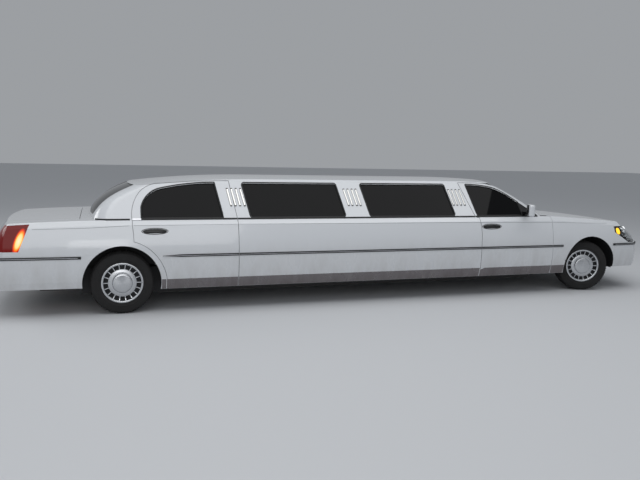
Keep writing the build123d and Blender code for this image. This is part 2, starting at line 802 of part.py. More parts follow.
def rear_body():
    low = block(x_tail, at_rear(480), -half_width - 60, half_width + 60, sill_z, belt_z + 30)
    shell = (rear_shell + ((middle_outer - middle_solid(panel_thickness)) & block(
        x_clip_rear, at_rear(480), -half_width - 60, half_width + 60, sill_z, belt_z))) & low
    shell -= lid_region(shut_gap)
    lamps = side_prism(tail_lamp_outline(seat_gap), -half_width - 60, -lid_half - shut_gap)
    shell = shell - lamps - mirrored(lamps)
    shell -= block(x_tail - 60, at_rear(-150), -half_width - 60, half_width + 60, 0, bumper_top_z + seat_gap)
    wheel = arch(x_rear_axle, arch_radius)
    shell = shell - wheel - mirrored(wheel)
    shell -= cabin_solid(frame_thickness)
    shell -= block(at_rear(-290), at_rear(600), -side_inner, side_inner, floor_top, roof_height)
    y0, y1 = -lid_bracket_y - lid_bracket_half, -lid_bracket_y + lid_bracket_half
    bracket = rear_solid(panel_thickness - 4) & block(
        x_lid_front + shut_gap, x_lid_front + 70, y0, y1, lid_bracket_z, roof_height)
    bracket += rear_solid(panel_thickness + seat_gap) & block(
        x_lid_front - 60, x_lid_front + 30, y0, y1, lid_bracket_z, roof_height)
    shell += bracket + mirrored(bracket)
    pillars = cabin_frame & block(x_tail, x_roof_pillar_rear, -half_width, half_width, 1000, pillar_top_z)
    return largest(cut_both_sides(shell + pillars, rear_gap_region))


export_step(rear_body(), "parts/rear_body.step")

rear_bumper = bumper(rear_stations, x_rear_axle, rear_bumper_levels, x_tail, x_clip_rear + 20,
                     tail_half, tail_sagitta, tail_corner, x_rear_axle, bumper_top_z)
export_step(rear_bumper, "parts/rear_bumper.step")

# Wheel-house liners

liner_inner_front = 492
liner_inner_rear = 640
liner_foot_z = 300


def wheel_house(x, y_in, body):
    outer = arch(x, liner_radius + liner_wall, y_in, half_width)
    inner = arch(x, liner_radius, y_in + liner_wall, half_width + 1)
    span = block(x - 500, x + 500, -half_width, -y_in, liner_foot_z, 900)
    wall_cut = block(x - 500, x + 500, -y_in - liner_wall - 1, -y_in + 1, 0, axle_z + 150)
    return largest(((outer - inner) & span & body) - wall_cut)


front_house = wheel_house(x_front_axle, liner_inner_front, front_solid(panel_thickness + seat_gap))
rear_inner_body = rear_solid(panel_thickness + seat_gap) + (middle_solid(panel_thickness + seat_gap) & block(
    x_clip_rear, at_rear(600), -half_width, half_width, 0, roof_height))
rear_house = wheel_house(x_rear_axle, liner_inner_rear, rear_inner_body) - rear_gap_region
export_step(Compound([s for h in (front_house, largest(rear_house)) for s in (h, mirrored(h))]),
            "parts/wheel_houses.step")

# Chassis frame

rail_width = 80
rail_height = 100
rail_mid_y = 600
rail_front_y = 425
rail_rear_y = 520
rail_mid_z = floor_bottom - seat_gap - rail_height / 2
rail_front_z = 385
rail_rear_z = 470


def beam(p0, p1, width, height):
    """A box beam between two points, its section upright."""
    start, end = Vector(*p0), Vector(*p1)
    along = end - start
    plane = Plane(origin=start, z_dir=along, x_dir=Vector(0, 0, 1).cross(along))
    return extrude(plane * Rectangle(width, height), amount=along.length)


def rod(p0, p1, radius):
    """A round bar between two points."""
    start, end = Vector(*p0), Vector(*p1)
    along = end - start
    return extrude(Plane(origin=start, z_dir=along) * Circle(radius), amount=along.length)


def rail():
    path = [
        (x_nose - 230, rail_front_y, rail_front_z), (at_front(-400), rail_front_y, rail_front_z),
        (at_front(-760), rail_mid_y, rail_mid_z), (at_rear(440), rail_mid_y, rail_mid_z),
        (at_rear(200), rail_rear_y, rail_rear_z), (x_tail + 260, rail_rear_y, rail_rear_z),
    ]
    beams = []
    for (x0, y0, z0), (x1, y1, z1) in zip(path, path[1:]):
        beams.append(beam((x0, -y0, z0), (x1, -y1, z1), rail_width, rail_height))
    joints = [Pos(x, -y, z) * Box(rail_width * 1.3, rail_width, rail_height) for x, y, z in path[1:-1]]
    return beams, joints


x_middle = (x_front_axle + x_rear_axle) / 2
middle_members = [at_front(-1060), at_front(-1900), x_middle, at_rear(1900), at_rear(1000)]
cross_members = [(x, rail_mid_y, rail_mid_z) for x in middle_members] + [
    (x_nose - 260, rail_front_y, rail_front_z), (at_rear(-560), rail_rear_y, rail_rear_z),
    (x_tail + 290, rail_rear_y, rail_rear_z)]
member_foot = 8                # foot of a cross member over the rail's middle
member_height = 30


def chassis():
    beams, joints = rail()
    frame = beams[0]
    for piece in beams[1:] + joints:
        frame += piece
    frame += mirrored(frame)
    for x, y, z in cross_members:
        frame += block(x - 35, x + 35, -y, y, z + member_foot, z + member_foot + member_height)
    return largest(frame)


export_step(chassis(), "parts/chassis_frame.step")

# Floor: pan with tunnel, raised over the rear axle, and the boot floor

floor_half = half_width - bottom_tuck - pillar_slab_depth - seat_gap
boot_floor_z = rail_rear_z + rail_height / 2 + seat_gap
boot_floor_top = boot_floor_z + 12
x_kick = at_rear(490)
kick_wall = 14
tunnel_outer = tunnel_half + tunnel_wall
hump_y_in = 460                # hollow over the rising end of a frame rail
hump_y_out = 652
hump_wall = 12


def rail_hump(wall):
    """The toe-board's raised box over a rail: its hollow, or its outside with the wall added."""
    foot, end = floor_bottom - (0 if wall else 1), x_bulkhead + (0 if wall else 1)
    x0 = at_front(-800) - wall
    profile = polygon([(x0, foot), (end, foot), (end, 364 + wall), (at_front(-637), 364 + wall),
                       (x0, 283 + wall)])
    return side_prism(profile, -hump_y_out - wall, -hump_y_in + wall)


def floor_pan():
    x0, x1 = x_kick, x_bulkhead
    pan = block(x0, x1, -floor_half, floor_half, floor_bottom, floor_top)
    pan -= block(x0 - 1, x1 + 1, -tunnel_half, tunnel_half, floor_bottom - 1, floor_top + 1)
    hollow_top = tunnel_top - tunnel_wall
    tunnel = block(x0, x1, -tunnel_outer, tunnel_outer, floor_bottom, tunnel_top) - block(
        x0 - 1, x1 + 1, -tunnel_half, tunnel_half, floor_bottom - 1, hollow_top)
    kick_half = liner_inner_rear - 60
    kick = block(x_kick, x_kick + kick_wall, -kick_half, kick_half, floor_top - 1, boot_floor_top)
    kick -= block(x_kick - 1, x_kick + kick_wall + 1, -tunnel_half, tunnel_half, floor_bottom, hollow_top)
    boot_half = liner_inner_rear - 4
    boot = block(x_tail + 140, x_kick + kick_wall, -boot_half, boot_half, boot_floor_z, boot_floor_top)
    outside, hollow = rail_hump(hump_wall), rail_hump(0)
    pan = pan + outside + mirrored(outside) - hollow - mirrored(hollow)
    return largest(pan + tunnel + kick + boot)


export_step(floor_pan(), "parts/floor_pan.step")

# Engine, gearbox and propeller shaft, rear axle

engine_half_length = 330
cross_top = 320                # top of the front crossmember, which carries the engine
engine = block(at_front(-engine_half_length), at_front(engine_half_length), -250, 250,
               cross_top + seat_gap, 800)
export_step(engine, "parts/engine_block.step")

gearbox_z = 292
shaft_radius = 38


def driveline():
    """Gearbox housing and the two-piece shaft with its centre bearing and joints."""
    x_box = at_front(-engine_half_length) - seat_gap
    box_solid = Pos(x_box - 330, 0, gearbox_z) * Rot(0, 90, 0) * Cone(62, 112, 660)
    shaft = rod((x_box - 650, 0, gearbox_z), (at_rear(188), 0, axle_z), shaft_radius)
    bearing_x = x_middle - 300
    hanger = rod((bearing_x - 23, 0, 316), (bearing_x + 23, 0, 316), 66)
    return largest(box_solid + shaft + hanger)


export_step(driveline(), "parts/driveline.step")

hub_face = 36                  # inner face of the wheel hub, inboard of the wheel's middle plane


def rear_axle():
    """Live axle: tube, differential housing, spring seats and trailing arms to the frame."""
    half = track_rear / 2 - hub_face
    tube = Pos(x_rear_axle, 0, axle_z) * Rot(90, 0, 0) * Cylinder(41, 2 * half - 2)
    housing = Pos(x_rear_axle, 0, axle_z) * Sphere(135)
    nose_piece = Pos(x_rear_axle + 110, 0, axle_z) * Rot(0, 90, 0) * Cone(100, 55, 150)
    solid = tube + housing + nose_piece
    spring_top = rail_rear_z - rail_height / 2 - seat_gap
    for side in (-1, 1):
        spindle = Pos(x_rear_axle, side * (half + 30), axle_z) * Rot(90, 0, 0) * Cylinder(spindle_radius, 70)
        y_rail = side * rail_rear_y
        spring = rod((x_rear_axle, y_rail, axle_z), (x_rear_axle, y_rail, spring_top), 50)
        arm = beam((x_rear_axle, side * 430, axle_z - 50), (at_rear(640), side * 430, 212), 40, 56)
        foot = block(at_rear(-40), at_rear(40), side * 430 - 20, side * 430 + 20, axle_z - 75, axle_z)
        solid = solid + spindle + spring + arm + foot
    return largest(solid)


spindle_radius = 22
spindle_clearance = 0.3
export_step(rear_axle(), "parts/rear_axle.step")

# Wheels: tyre and wheel with its slotted cover, drawn about an axle along Y, outer face towards -Y

bead_radius = 203
rim_radius = 219
cover_slots = 18


def tyre():
    half = tyre_width / 2
    r = tyre_radius
    section = make_face(Curve() + [
        Line((bead_radius, -88), (bead_radius, 88)),
        Line((bead_radius, 88), (bead_radius + 16, 96)),
        ThreePointArc((bead_radius + 16, 96), (272, half), (r - 26, half - 12)),
        ThreePointArc((r - 26, half - 12), (r - 8, half - 22), (r - 3, half - 38)),
        ThreePointArc((r - 3, half - 38), (r, 0), (r - 3, 38 - half)),
        ThreePointArc((r - 3, 38 - half), (r - 8, 22 - half), (r - 26, 12 - half)),
        ThreePointArc((r - 26, 12 - half), (272, -half), (bead_radius + 16, -96)),
        Line((bead_radius + 16, -96), (bead_radius, -88)),
    ])
    return revolve(section, Axis.Y)


def wheel():
    """Rim, dished disc, hub with its bore, and the slotted cover with a stepped dome."""
    bead = bead_radius - seat_gap
    bore = spindle_radius + spindle_clearance
    profile = make_face(Polyline(
        (bore, hub_face), (70, hub_face), (70, -8), (120, -16), (176, 20),
        (176, 98), (rim_radius, 104), (rim_radius, 97), (bead, 88.6), (bead, -88.6), (rim_radius, -97),
        (rim_radius, -103), (195, -106), (190, -88), (150, -78),
        (148, -92), (106, -102), (102, -112), (60, -118), (bore, -119), close=True))
    solid = revolve(profile, Axis.Y)
    slot = Pos(171, -60, 0) * Box(34, 60, 17)
    slots = Compound([Rot(0, 360 / cover_slots * i, 0) * slot for i in range(cover_slots)])
    return largest(solid - slots)


tyre_shape = tyre()
wheel_shape = wheel()
kingpin_inset = 62             # steering axis inboard of the wheel's middle plane


def steered(shape, side):
    """A piece drawn at a front wheel's centre, placed there and turned about its steering axis."""
    y = side * track_front / 2
    pivot_y = y - side * kingpin_inset
    drawn = shape if side < 0 else mirrored(shape)
    turn = Pos(x_front_axle, pivot_y, axle_z) * Rot(0, 0, parked_steer)
    return turn * Pos(0, y - pivot_y, 0) * drawn


def at_rear_hub(shape, side):
    drawn = shape if side < 0 else mirrored(shape)
    return Pos(x_rear_axle, side * track_rear / 2, axle_z) * drawn


for side, word in ((-1, "right"), (1, "left")):
    export_step(steered(tyre_shape, side), f"parts/front_tyre_{word}.step")
    export_step(steered(wheel_shape, side), f"parts/front_wheel_{word}.step")
    export_step(at_rear_hub(tyre_shape, side), f"parts/rear_tyre_{word}.step")
    export_step(at_rear_hub(wheel_shape, side), f"parts/rear_wheel_{word}.step")

# Front knuckles and the suspension that carries them

upright_half = 105


def knuckle():
    """Upright on the steering axis with its spindle, drawn at the wheel's centre."""
    upright = Pos(0, kingpin_inset, 0) * Box(56, 44, 2 * upright_half)
    upright = fillet(upright.edges().filter_by(Axis.Z), 14)
    spindle_reach = 90
    spindle = Pos(0, (kingpin_inset - spindle_reach) / 2, 0) * Rot(90, 0, 0) * Cylinder(
        spindle_radius, kingpin_inset + spindle_reach)
    arm = beam((0, kingpin_inset + 10, -40), (-150, kingpin_inset + 40, -40), 26, 26)
    return largest(upright + spindle + arm)


knuckle_shape = knuckle()
for side, word in ((-1, "right"), (1, "left")):
    export_step(steered(knuckle_shape, side), f"parts/front_knuckle_{word}.step")


def front_suspension():
    """Crossmember with upper and lower arms out to each steering axis, and the spring towers."""
    y_king = track_front / 2 - kingpin_inset
    half_cross = rail_front_y + 40
    solid = block(at_front(-70), at_front(70), -half_cross, half_cross, 232, cross_top)
    upper_z = axle_z + upright_half + 14 + seat_gap
    lower_z = axle_z - upright_half - 14 - seat_gap
    rail_foot = rail_front_z - rail_height / 2 - seat_gap
    rail_top = rail_front_z + rail_height / 2 + seat_gap
    for side in (-1, 1):
        for z, spread, y_root in ((upper_z, 90, rail_front_y - 10), (lower_z, 150, rail_front_y)):
            for fore in (-1, 1):
                root = (x_front_axle + fore * spread, side * y_root, z)
                solid += beam(root, (x_front_axle, side * y_king, z), 30, 24)
            solid += Pos(x_front_axle, side * y_king, z) * Cylinder(26, 28)
        y_rail = side * rail_front_y
        solid += block(at_front(-165), at_front(165), y_rail - 30, y_rail + 30, lower_z - 14, lower_z + 14)
        solid += block(at_front(-60), at_front(60), y_rail - 44, y_rail + 44, cross_top - 2, rail_foot)
        solid += block(at_front(-105), at_front(105), y_rail - 25, y_rail + 25, rail_top, upper_z + 26)
    return solid


export_step(clean_solids(front_suspension()), "parts/front_suspension.step")

# Exhaust

pipe_radius = 28
exhaust_y = -330
barrel_z = 260
hanger_half = 12


def exhaust():
    """Pipe along the right of the tunnel with a middle muffler and a barrel muffler at the tail."""
    z = 182
    x0, x1 = at_front(-500), at_rear(700)
    solid = Pos((x0 + x1) / 2, exhaust_y, z) * Rot(0, 90, 0) * Cylinder(pipe_radius, x0 - x1)
    solid += Pos(at_rear(1500), exhaust_y, z) * Rot(0, 90, 0) * Cylinder(70, 560)
    solid += beam((at_rear(700), exhaust_y, z), (at_rear(420), exhaust_y, 210), 50, 50)
    solid += beam((at_rear(420), exhaust_y, 210), (at_rear(-420), exhaust_y, 210), 50, 50)
    solid += Pos(at_rear(-640), exhaust_y, barrel_z) * Rot(0, 90, 0) * Cylinder(95, 460)
    solid += Pos(at_rear(-1010), exhaust_y, barrel_z - 5) * Rot(0, 90, 0) * Cylinder(pipe_radius, 340)
    hangers = [(x, z, rail_mid_z) for x in middle_members] + [(at_rear(-560), barrel_z, rail_rear_z)]
    for x, foot, member_z in hangers:
        top = member_z + member_foot - seat_gap
        solid += block(x - hanger_half, x + hanger_half, exhaust_y - hanger_half, exhaust_y + hanger_half,
                       foot, top)
    return largest(solid)


export_step(exhaust(), "parts/exhaust.step")

# Cabin pieces seen through the glass

seat_half = 700
dash_half = 740


def side_profile(points, half, radius=0.0):
    return side_prism(polygon(points, radius), -half, half)


x_dash = x_bulkhead - seat_gap
dash = side_profile([(x_dash, 690), (x_dash, 925), (at_front(-800), 937), (at_front(-960), 915),
                     (at_front(-985), 800), (at_front(-880), 690)], dash_half)
wheel_x, wheel_y, wheel_z = at_front(-1160), 370, 905
steering_wheel = Pos(wheel_x, wheel_y, wheel_z) * Rot(0, -62, 0) * Torus(185, 15)
column = beam((wheel_x + 10, wheel_y, wheel_z - 5), (at_front(-900), wheel_y, wheel_z - 140), 60, 60)
spokes = Pos(wheel_x, wheel_y, wheel_z) * Rot(0, -62, 0) * (Box(40, 372, 22) + Cylinder(50, 30))
export_step(largest(dash + column + steering_wheel + spokes), "parts/dashboard.step")

cushion_top = 600
on_floor = floor_top + seat_gap
over_boot_floor = boot_floor_top + 1
seat_kick = x_kick + kick_wall + seat_gap
over_tunnel = block(x_tail, x_nose, -tunnel_outer - 1, tunnel_outer + 1, 0, tunnel_top + seat_gap)
front_seat = side_profile([
    (at_front(-1330), on_floor), (at_front(-1330), 540), (at_front(-1400), cushion_top - 20),
    (at_front(-1840), 560), (at_front(-2010), 1130), (at_front(-2110), 1150), (at_front(-2120), 1060),
    (at_front(-1990), on_floor),
], seat_half)
rear_seat = side_profile([
    (at_rear(1010), on_floor), (at_rear(1010), 560), (at_rear(960), cushion_top), (at_rear(430), 570),
    (at_rear(210), 1120), (at_rear(110), 1140), (at_rear(80), 1090), (at_rear(250), over_boot_floor),
    (seat_kick, over_boot_floor), (seat_kick, on_floor),
], liner_inner_rear - 12)
export_step(front_seat - over_tunnel, "parts/front_seat.step")
export_step(rear_seat - over_tunnel, "parts/rear_seat.step")

partition_x = at_front(-2180)
inner_half = pillar_inner - seat_gap
partition = cabin_solid(frame_thickness + seat_gap) + (middle_solid(pillar_slab_depth + seat_gap) & block(
    x_tail, x_nose, -inner_half, inner_half, on_floor, belt_z + 5))
partition &= block(partition_x - 15, partition_x + 15, -side_inner, side_inner, on_floor, 1380)
partition -= over_tunnel
partition -= block(partition_x - 40, partition_x + 40, -480, 480, 1000, 1290)
export_step(largest(partition), "parts/partition.step")

bench_depth = 480
bench_back = 130
bench_side = pillar_inner - 62
bench_from, bench_to = at_rear(1380), at_front(-2260)
bench = (block(bench_from, bench_to, bench_side - bench_depth, bench_side, on_floor, 560)
         + block(bench_from, bench_to, bench_side - bench_back, bench_side, 550, 960))
export_step(bench, "parts/side_bench.step")
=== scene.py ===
"""Looks of the white stretch limousine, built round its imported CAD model.

Metres, in the row frame: X forward, Y to the car's left, Z up, origin on the ground below the car's
middle. Sizes are written in millimetres and turned to metres where a mesh is made.
"""
import bmesh
import bpy
from math import copysign, cos, exp, pi, radians, sin
from mathutils import Matrix, Vector
from mathutils.bvhtree import BVHTree
from mathutils.geometry import convex_hull_2d


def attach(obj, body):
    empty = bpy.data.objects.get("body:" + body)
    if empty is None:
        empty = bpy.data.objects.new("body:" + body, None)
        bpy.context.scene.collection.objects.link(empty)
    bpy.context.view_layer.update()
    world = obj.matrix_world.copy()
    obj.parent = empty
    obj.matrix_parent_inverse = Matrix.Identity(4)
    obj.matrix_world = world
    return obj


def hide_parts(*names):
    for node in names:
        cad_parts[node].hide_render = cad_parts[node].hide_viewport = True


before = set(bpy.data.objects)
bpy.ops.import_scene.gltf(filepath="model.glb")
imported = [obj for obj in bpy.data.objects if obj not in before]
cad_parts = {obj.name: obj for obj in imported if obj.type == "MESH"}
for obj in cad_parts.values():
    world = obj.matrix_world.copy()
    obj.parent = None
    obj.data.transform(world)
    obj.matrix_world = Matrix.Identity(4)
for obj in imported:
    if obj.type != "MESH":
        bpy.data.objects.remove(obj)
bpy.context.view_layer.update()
scene = bpy.context.scene

MM = 0.001

# Driving sizes, in millimetres, as in the CAD
length = 8517
front_overhang = 1095
wheelbase = 6038
x_nose = length / 2
x_front_axle = x_nose - front_overhang
x_rear_axle = x_front_axle - wheelbase
tyre_radius = 338
cabin_slope = 0.605            # inward lean of the side windows, per unit of height
sill_z = 262
trim_z = 372
belt_z = 1013
SIDES = {"right": -1, "left": 1}
ENDS = ("front", "rear")


def rear(dx):
    """X of a place given from the rear axle."""
    return x_rear_axle + dx


def front(dx):
    """X of a place given from the front axle."""
    return x_front_axle + dx


# Materials

def linear(colour):
    """A colour written as sRGB hex, turned to linear light."""
    parts = [int(colour[i:i + 2], 16) / 255 for i in (1, 3, 5)]
    return [c / 12.92 if c <= 0.04045 else ((c + 0.055) / 1.055) ** 2.4 for c in parts] + [1.0]


def add_node(tree, kind, inputs=None, links=None, **settings):
    """Adds a node with its settings, its sockets' values and the links that feed it."""
    node = tree.nodes.new(kind)
    for name, value in settings.items():
        setattr(node, name, value)
    for socket, value in (inputs or {}).items():
        node.inputs[socket].default_value = value
    for socket, source in (links or {}).items():
        tree.links.new(source, node.inputs[socket])
    return node


def material(name, colour, **sockets):
    """A plain surface: colour and shader values, with underscores for the blanks in the sockets' names."""
    made = bpy.data.materials.new(name)
    made.use_nodes = True
    shader = made.node_tree.nodes["Principled BSDF"]
    shader.inputs["Base Color"].default_value = linear(colour)
    for socket, value in sockets.items():
        shader.inputs[socket.replace("_", " ")].default_value = value
    return made


def shader_of(made):
    """A material's node tree and its shader."""
    return made.node_tree, made.node_tree.nodes["Principled BSDF"]


def speckled(made, dark, pale, size_mm, detail=4.0):
    """Mottles the base colour between two colours; size_mm is the size of a mottle."""
    tree, shader = shader_of(made)
    place = add_node(tree, "ShaderNodeTexCoord")
    noise = add_node(tree, "ShaderNodeTexNoise", {"Scale": 1 / (size_mm * MM), "Detail": detail},
                     {"Vector": place.outputs["Object"]})
    blend = add_node(tree, "ShaderNodeMix", {"A": linear(dark), "B": linear(pale)},
                     {"Factor": noise.outputs["Fac"]}, data_type="RGBA")
    tree.links.new(blend.outputs["Result"], shader.inputs["Base Color"])
    return made


def grained(made, size_mm, strength, depth_mm=0.3):
    """Gives a surface a fine grain in its normal."""
    tree, shader = shader_of(made)
    place = add_node(tree, "ShaderNodeTexCoord")
    noise = add_node(tree, "ShaderNodeTexNoise", {"Scale": 1 / (size_mm * MM), "Detail": 3.0},
                     {"Vector": place.outputs["Object"]})
    bump = add_node(tree, "ShaderNodeBump", {"Strength": strength, "Distance": depth_mm * MM},
                    {"Height": noise.outputs["Fac"]})
    tree.links.new(bump.outputs["Normal"], shader.inputs["Normal"])
    return made


def darker_towards_ground(made, upper_colour, lower_colour, foot_mm, top_mm, most=1.0):
    """Blends the base colour towards a second, darker colour in streaky patches, most at foot_mm above the ground and
    not at all by top_mm, and roughens it there.
    """
    tree, shader = shader_of(made)
    place = add_node(tree, "ShaderNodeTexCoord")
    height = add_node(tree, "ShaderNodeSeparateXYZ", links={"Vector": place.outputs["Object"]})
    streaks = add_node(tree, "ShaderNodeMapping", {"Scale": (3.0, 3.0, 1.0)}, {"Vector": place.outputs["Object"]})
    noise = add_node(tree, "ShaderNodeTexNoise", {"Scale": 2.6, "Detail": 7.0, "Roughness": 0.62},
                     {"Vector": streaks.outputs["Vector"]})
    fade = add_node(tree, "ShaderNodeMapRange",
                    {"From Min": foot_mm * MM, "From Max": top_mm * MM, "To Min": most, "To Max": 0.0},
                    {"Value": height.outputs["Z"]})
    spread = add_node(tree, "ShaderNodeMapRange", {"From Min": 0.25, "From Max": 0.75},
                      {"Value": noise.outputs["Fac"]})
    amount = add_node(tree, "ShaderNodeMath", links={0: fade.outputs["Result"], 1: spread.outputs["Result"]},
                      operation="MULTIPLY")
    blend = add_node(tree, "ShaderNodeMix", {"A": linear(upper_colour), "B": linear(lower_colour)},
                     {"Factor": amount.outputs["Value"]}, data_type="RGBA")
    tree.links.new(blend.outputs["Result"], shader.inputs["Base Color"])
    rough = add_node(tree, "ShaderNodeMapRange", {"To Min": shader.inputs["Roughness"].default_value, "To Max": 0.62},
                     {"Value": amount.outputs["Value"]})
    tree.links.new(rough.outputs["Result"], shader.inputs["Roughness"])
    return made


# Two-stage acrylic enamel, a cool white under clear lacquer, with winter road film towards the sills
body_enamel = darker_towards_ground(
    material("body_enamel", "#d6d9dd", Roughness=0.22, Coat_Weight=1.0, Coat_Roughness=0.04, IOR=1.5),
    "#d6d9dd", "#a9a7a4", 180, 800, 0.75)
# Smoked toughened glass under dark film, nearly black from outside, with a faint mirror sheen
smoked_glass = material("smoked_glass", "#08080a", Roughness=0.02, IOR=1.52, Transmission_Weight=0.12,
                        Specular_IOR_Level=0.09)
# Laminated windscreen glass, faintly green
laminated_glass = material("laminated_glass", "#9aa8a0", Roughness=0.0, IOR=1.52, Transmission_Weight=1.0)
# Hexavalent chrome plate over nickel on die-cast trim
chrome_plate = material("chrome_plate", "#dcdde0", Metallic=1.0, Roughness=0.07)
# Polished stainless sheet of the sill trim, darker, browner and rougher towards its foot
stainless_sheet = darker_towards_ground(material("stainless_sheet", "#8b8788", Metallic=1.0, Roughness=0.2),
                            "#8b8788", "#5c5354", 170, 470, 0.95)
# Buffed stainless strip of the pillar bars, bright and a little soft in its reflections
polished_stainless = material("polished_stainless", "#f3f2ef", Metallic=1.0, Roughness=0.32)
# Moulded black EPDM seals
seal_rubber = material("seal_rubber", "#101112", Roughness=0.55)
# Grey vinyl tape of the coach line
vinyl_tape = speckled(material("vinyl_tape", "#85888c", Roughness=0.4), "#7d8084", "#8e9195", 30)
# Black glossy ABS of the door handles
handle_abs = material("handle_abs", "#0b0b0c", Roughness=0.2, Coat_Weight=0.4)
# Black grained polypropylene of liners and cabin plastics
grained_polypropylene = grained(material("grained_polypropylene", "#17181a", Roughness=0.6), 1.6, 0.4)
# Vulcanised tyre rubber with grey road film on the tread
tyre_rubber = grained(speckled(material("tyre_rubber", "#161617", Roughness=0.8), "#101011", "#212020", 60),
                      2.2, 0.35)
# Clear-coated machined aluminium of the wheel covers
cover_aluminium = material("cover_aluminium", "#b9bbbe", Metallic=1.0, Roughness=0.22)
cover_shadow = material("cover_shadow", "#1d1f21", Metallic=0.5, Roughness=0.55)
# Silver-painted steel of the wheels behind their covers
painted_rim = material("painted_rim", "#8f9194", Roughness=0.4, Metallic=0.4)


def turned_metal(name, hub):
    """Clear-coated aluminium turned on a lathe: fine circular scratches round one wheel's axle."""
    made = material(name, "#c9cbce", Metallic=1.0, Roughness=0.27, Anisotropic=0.75)
    tree, shader = shader_of(made)
    place = add_node(tree, "ShaderNodeTexCoord")
    centre, axle = hub.translation * MM, (hub.to_3x3() @ Vector((0, 1, 0))).normalized()
    spoke = add_node(tree, "ShaderNodeVectorMath", {1: centre}, {0: place.outputs["Object"]}, operation="SUBTRACT")
    round_axle = add_node(tree, "ShaderNodeVectorMath", {1: axle}, {0: spoke.outputs["Vector"]},
                          operation="CROSS_PRODUCT")
    unit = add_node(tree, "ShaderNodeVectorMath", links={0: round_axle.outputs["Vector"]}, operation="NORMALIZE")
    tree.links.new(unit.outputs["Vector"], shader.inputs["Tangent"])
    return made


# Chassis steel under black wax
waxed_steel = grained(speckled(material("waxed_steel", "#141415", Roughness=0.55), "#0f0f10", "#232120", 90),
                      6.0, 0.3)
# Sprayed bitumen underseal in the wheel wells; on the other inner sides of the bumpers and panels, which are body
# colour, the same dark finish is painted shade
underseal_and_shade = grained(material("underseal_and_shade", "#121213", Roughness=0.85), 7.0, 0.5, 0.6)
# Grey cast iron and cast steel of the running gear
cast_iron = grained(speckled(material("cast_iron", "#3a3835", Roughness=0.7, Metallic=0.5), "#2c2926", "#4a4642", 40),
                    4.0, 0.5)
# Aluminised steel of the exhaust
aluminised_steel = speckled(material("aluminised_steel", "#5d5a56", Roughness=0.45, Metallic=0.8),
                            "#4a4541", "#6b6863", 70)
# Moulded acrylic lamp lenses
clear_acrylic = material("clear_acrylic", "#f2f4f5", Roughness=0.03, IOR=1.49, Transmission_Weight=1.0)
red_acrylic = material("red_acrylic", "#4e0504", Roughness=0.1, IOR=1.49, Specular_IOR_Level=0.3,
                       Emission_Strength=1.0)
# Colours of a lit lens from the middle of its bulb outwards, each with its share of the way
LENS_GLOW = ((0.0, "#fff8d0"), (0.5, "#ffe58a"), (0.66, "#ff9c22"), (0.82, "#ee3a12"), (1.0, "#4e0504"))
TAIL_GLOW_LEAN = 20.4          # degrees that the lamp leans forward


def glowing(made, centre_mm, half_x_mm, half_z_mm, lean):
    """The glow of a lit bulb behind a lens, an upright oval that leans forward by so many degrees."""
    tree, shader = shader_of(made)
    place = add_node(tree, "ShaderNodeTexCoord")
    oval = add_node(tree, "ShaderNodeMapping",
                    {"Location": [c * MM for c in centre_mm], "Rotation": (0, radians(lean), 0),
                     "Scale": (half_x_mm * MM, 1, half_z_mm * MM)},
                    {"Vector": place.outputs["Object"]}, vector_type="TEXTURE")
    flat = add_node(tree, "ShaderNodeVectorMath", {1: (1, 0, 1)}, {0: oval.outputs["Vector"]},
                    operation="MULTIPLY")
    away = add_node(tree, "ShaderNodeVectorMath", links={0: flat.outputs["Vector"]}, operation="LENGTH")
    ramp = add_node(tree, "ShaderNodeValToRGB", links={"Fac": away.outputs["Value"]})
    stops = ramp.color_ramp.elements
    while len(stops) < len(LENS_GLOW):
        stops.new(0.5)
    for stop, (share, colour) in zip(stops, LENS_GLOW):
        stop.position, stop.color = share, linear(colour)
    tree.links.new(ramp.outputs["Color"], shader.inputs["Emission Color"])


glowing(red_acrylic, (rear(-1004), 0, 812), 46, 140, TAIL_GLOW_LEAN)
# Lit amber side lens, and the black moulding of the lamp housings
lit_amber = material("lit_amber", "#ffb21a", Roughness=0.12, Coat_Weight=0.6, Emission_Color=linear("#ffc62e"),
                     Emission_Strength=1.15)
lamp_housing = material("lamp_housing", "#141416", Roughness=0.45)
# Vacuum-metallised reflector bowls
metallised_bowl = material("metallised_bowl", "#d8dadc", Metallic=1.0, Roughness=0.12)
# Pigmented leather on the seats, loop-pile carpet on the floor, vinyl on the roof lining
seat_leather = grained(speckled(material("seat_leather", "#3a3b3f", Roughness=0.5), "#323338", "#424347", 14),
                       2.5, 0.5, 0.6)
pile_carpet = grained(speckled(material("pile_carpet", "#24262a", Roughness=0.95), "#1b1c20", "#303237", 6), 3.0, 0.9,
                      1.0)
# Grained vinyl of the door cards
card_vinyl = grained(speckled(material("card_vinyl", "#46474b", Roughness=0.55), "#414246", "#4c4d51", 20), 2.0, 0.4)
cabin_plastic = grained(material("cabin_plastic", "#232427", Roughness=0.55), 1.8, 0.4)
cabin_lining = grained(material("cabin_lining", "#8d8c89", Roughness=0.85), 3.0, 0.4)
mirror_silver = material("mirror_silver", "#e8eaec", Metallic=1.0, Roughness=0.02)

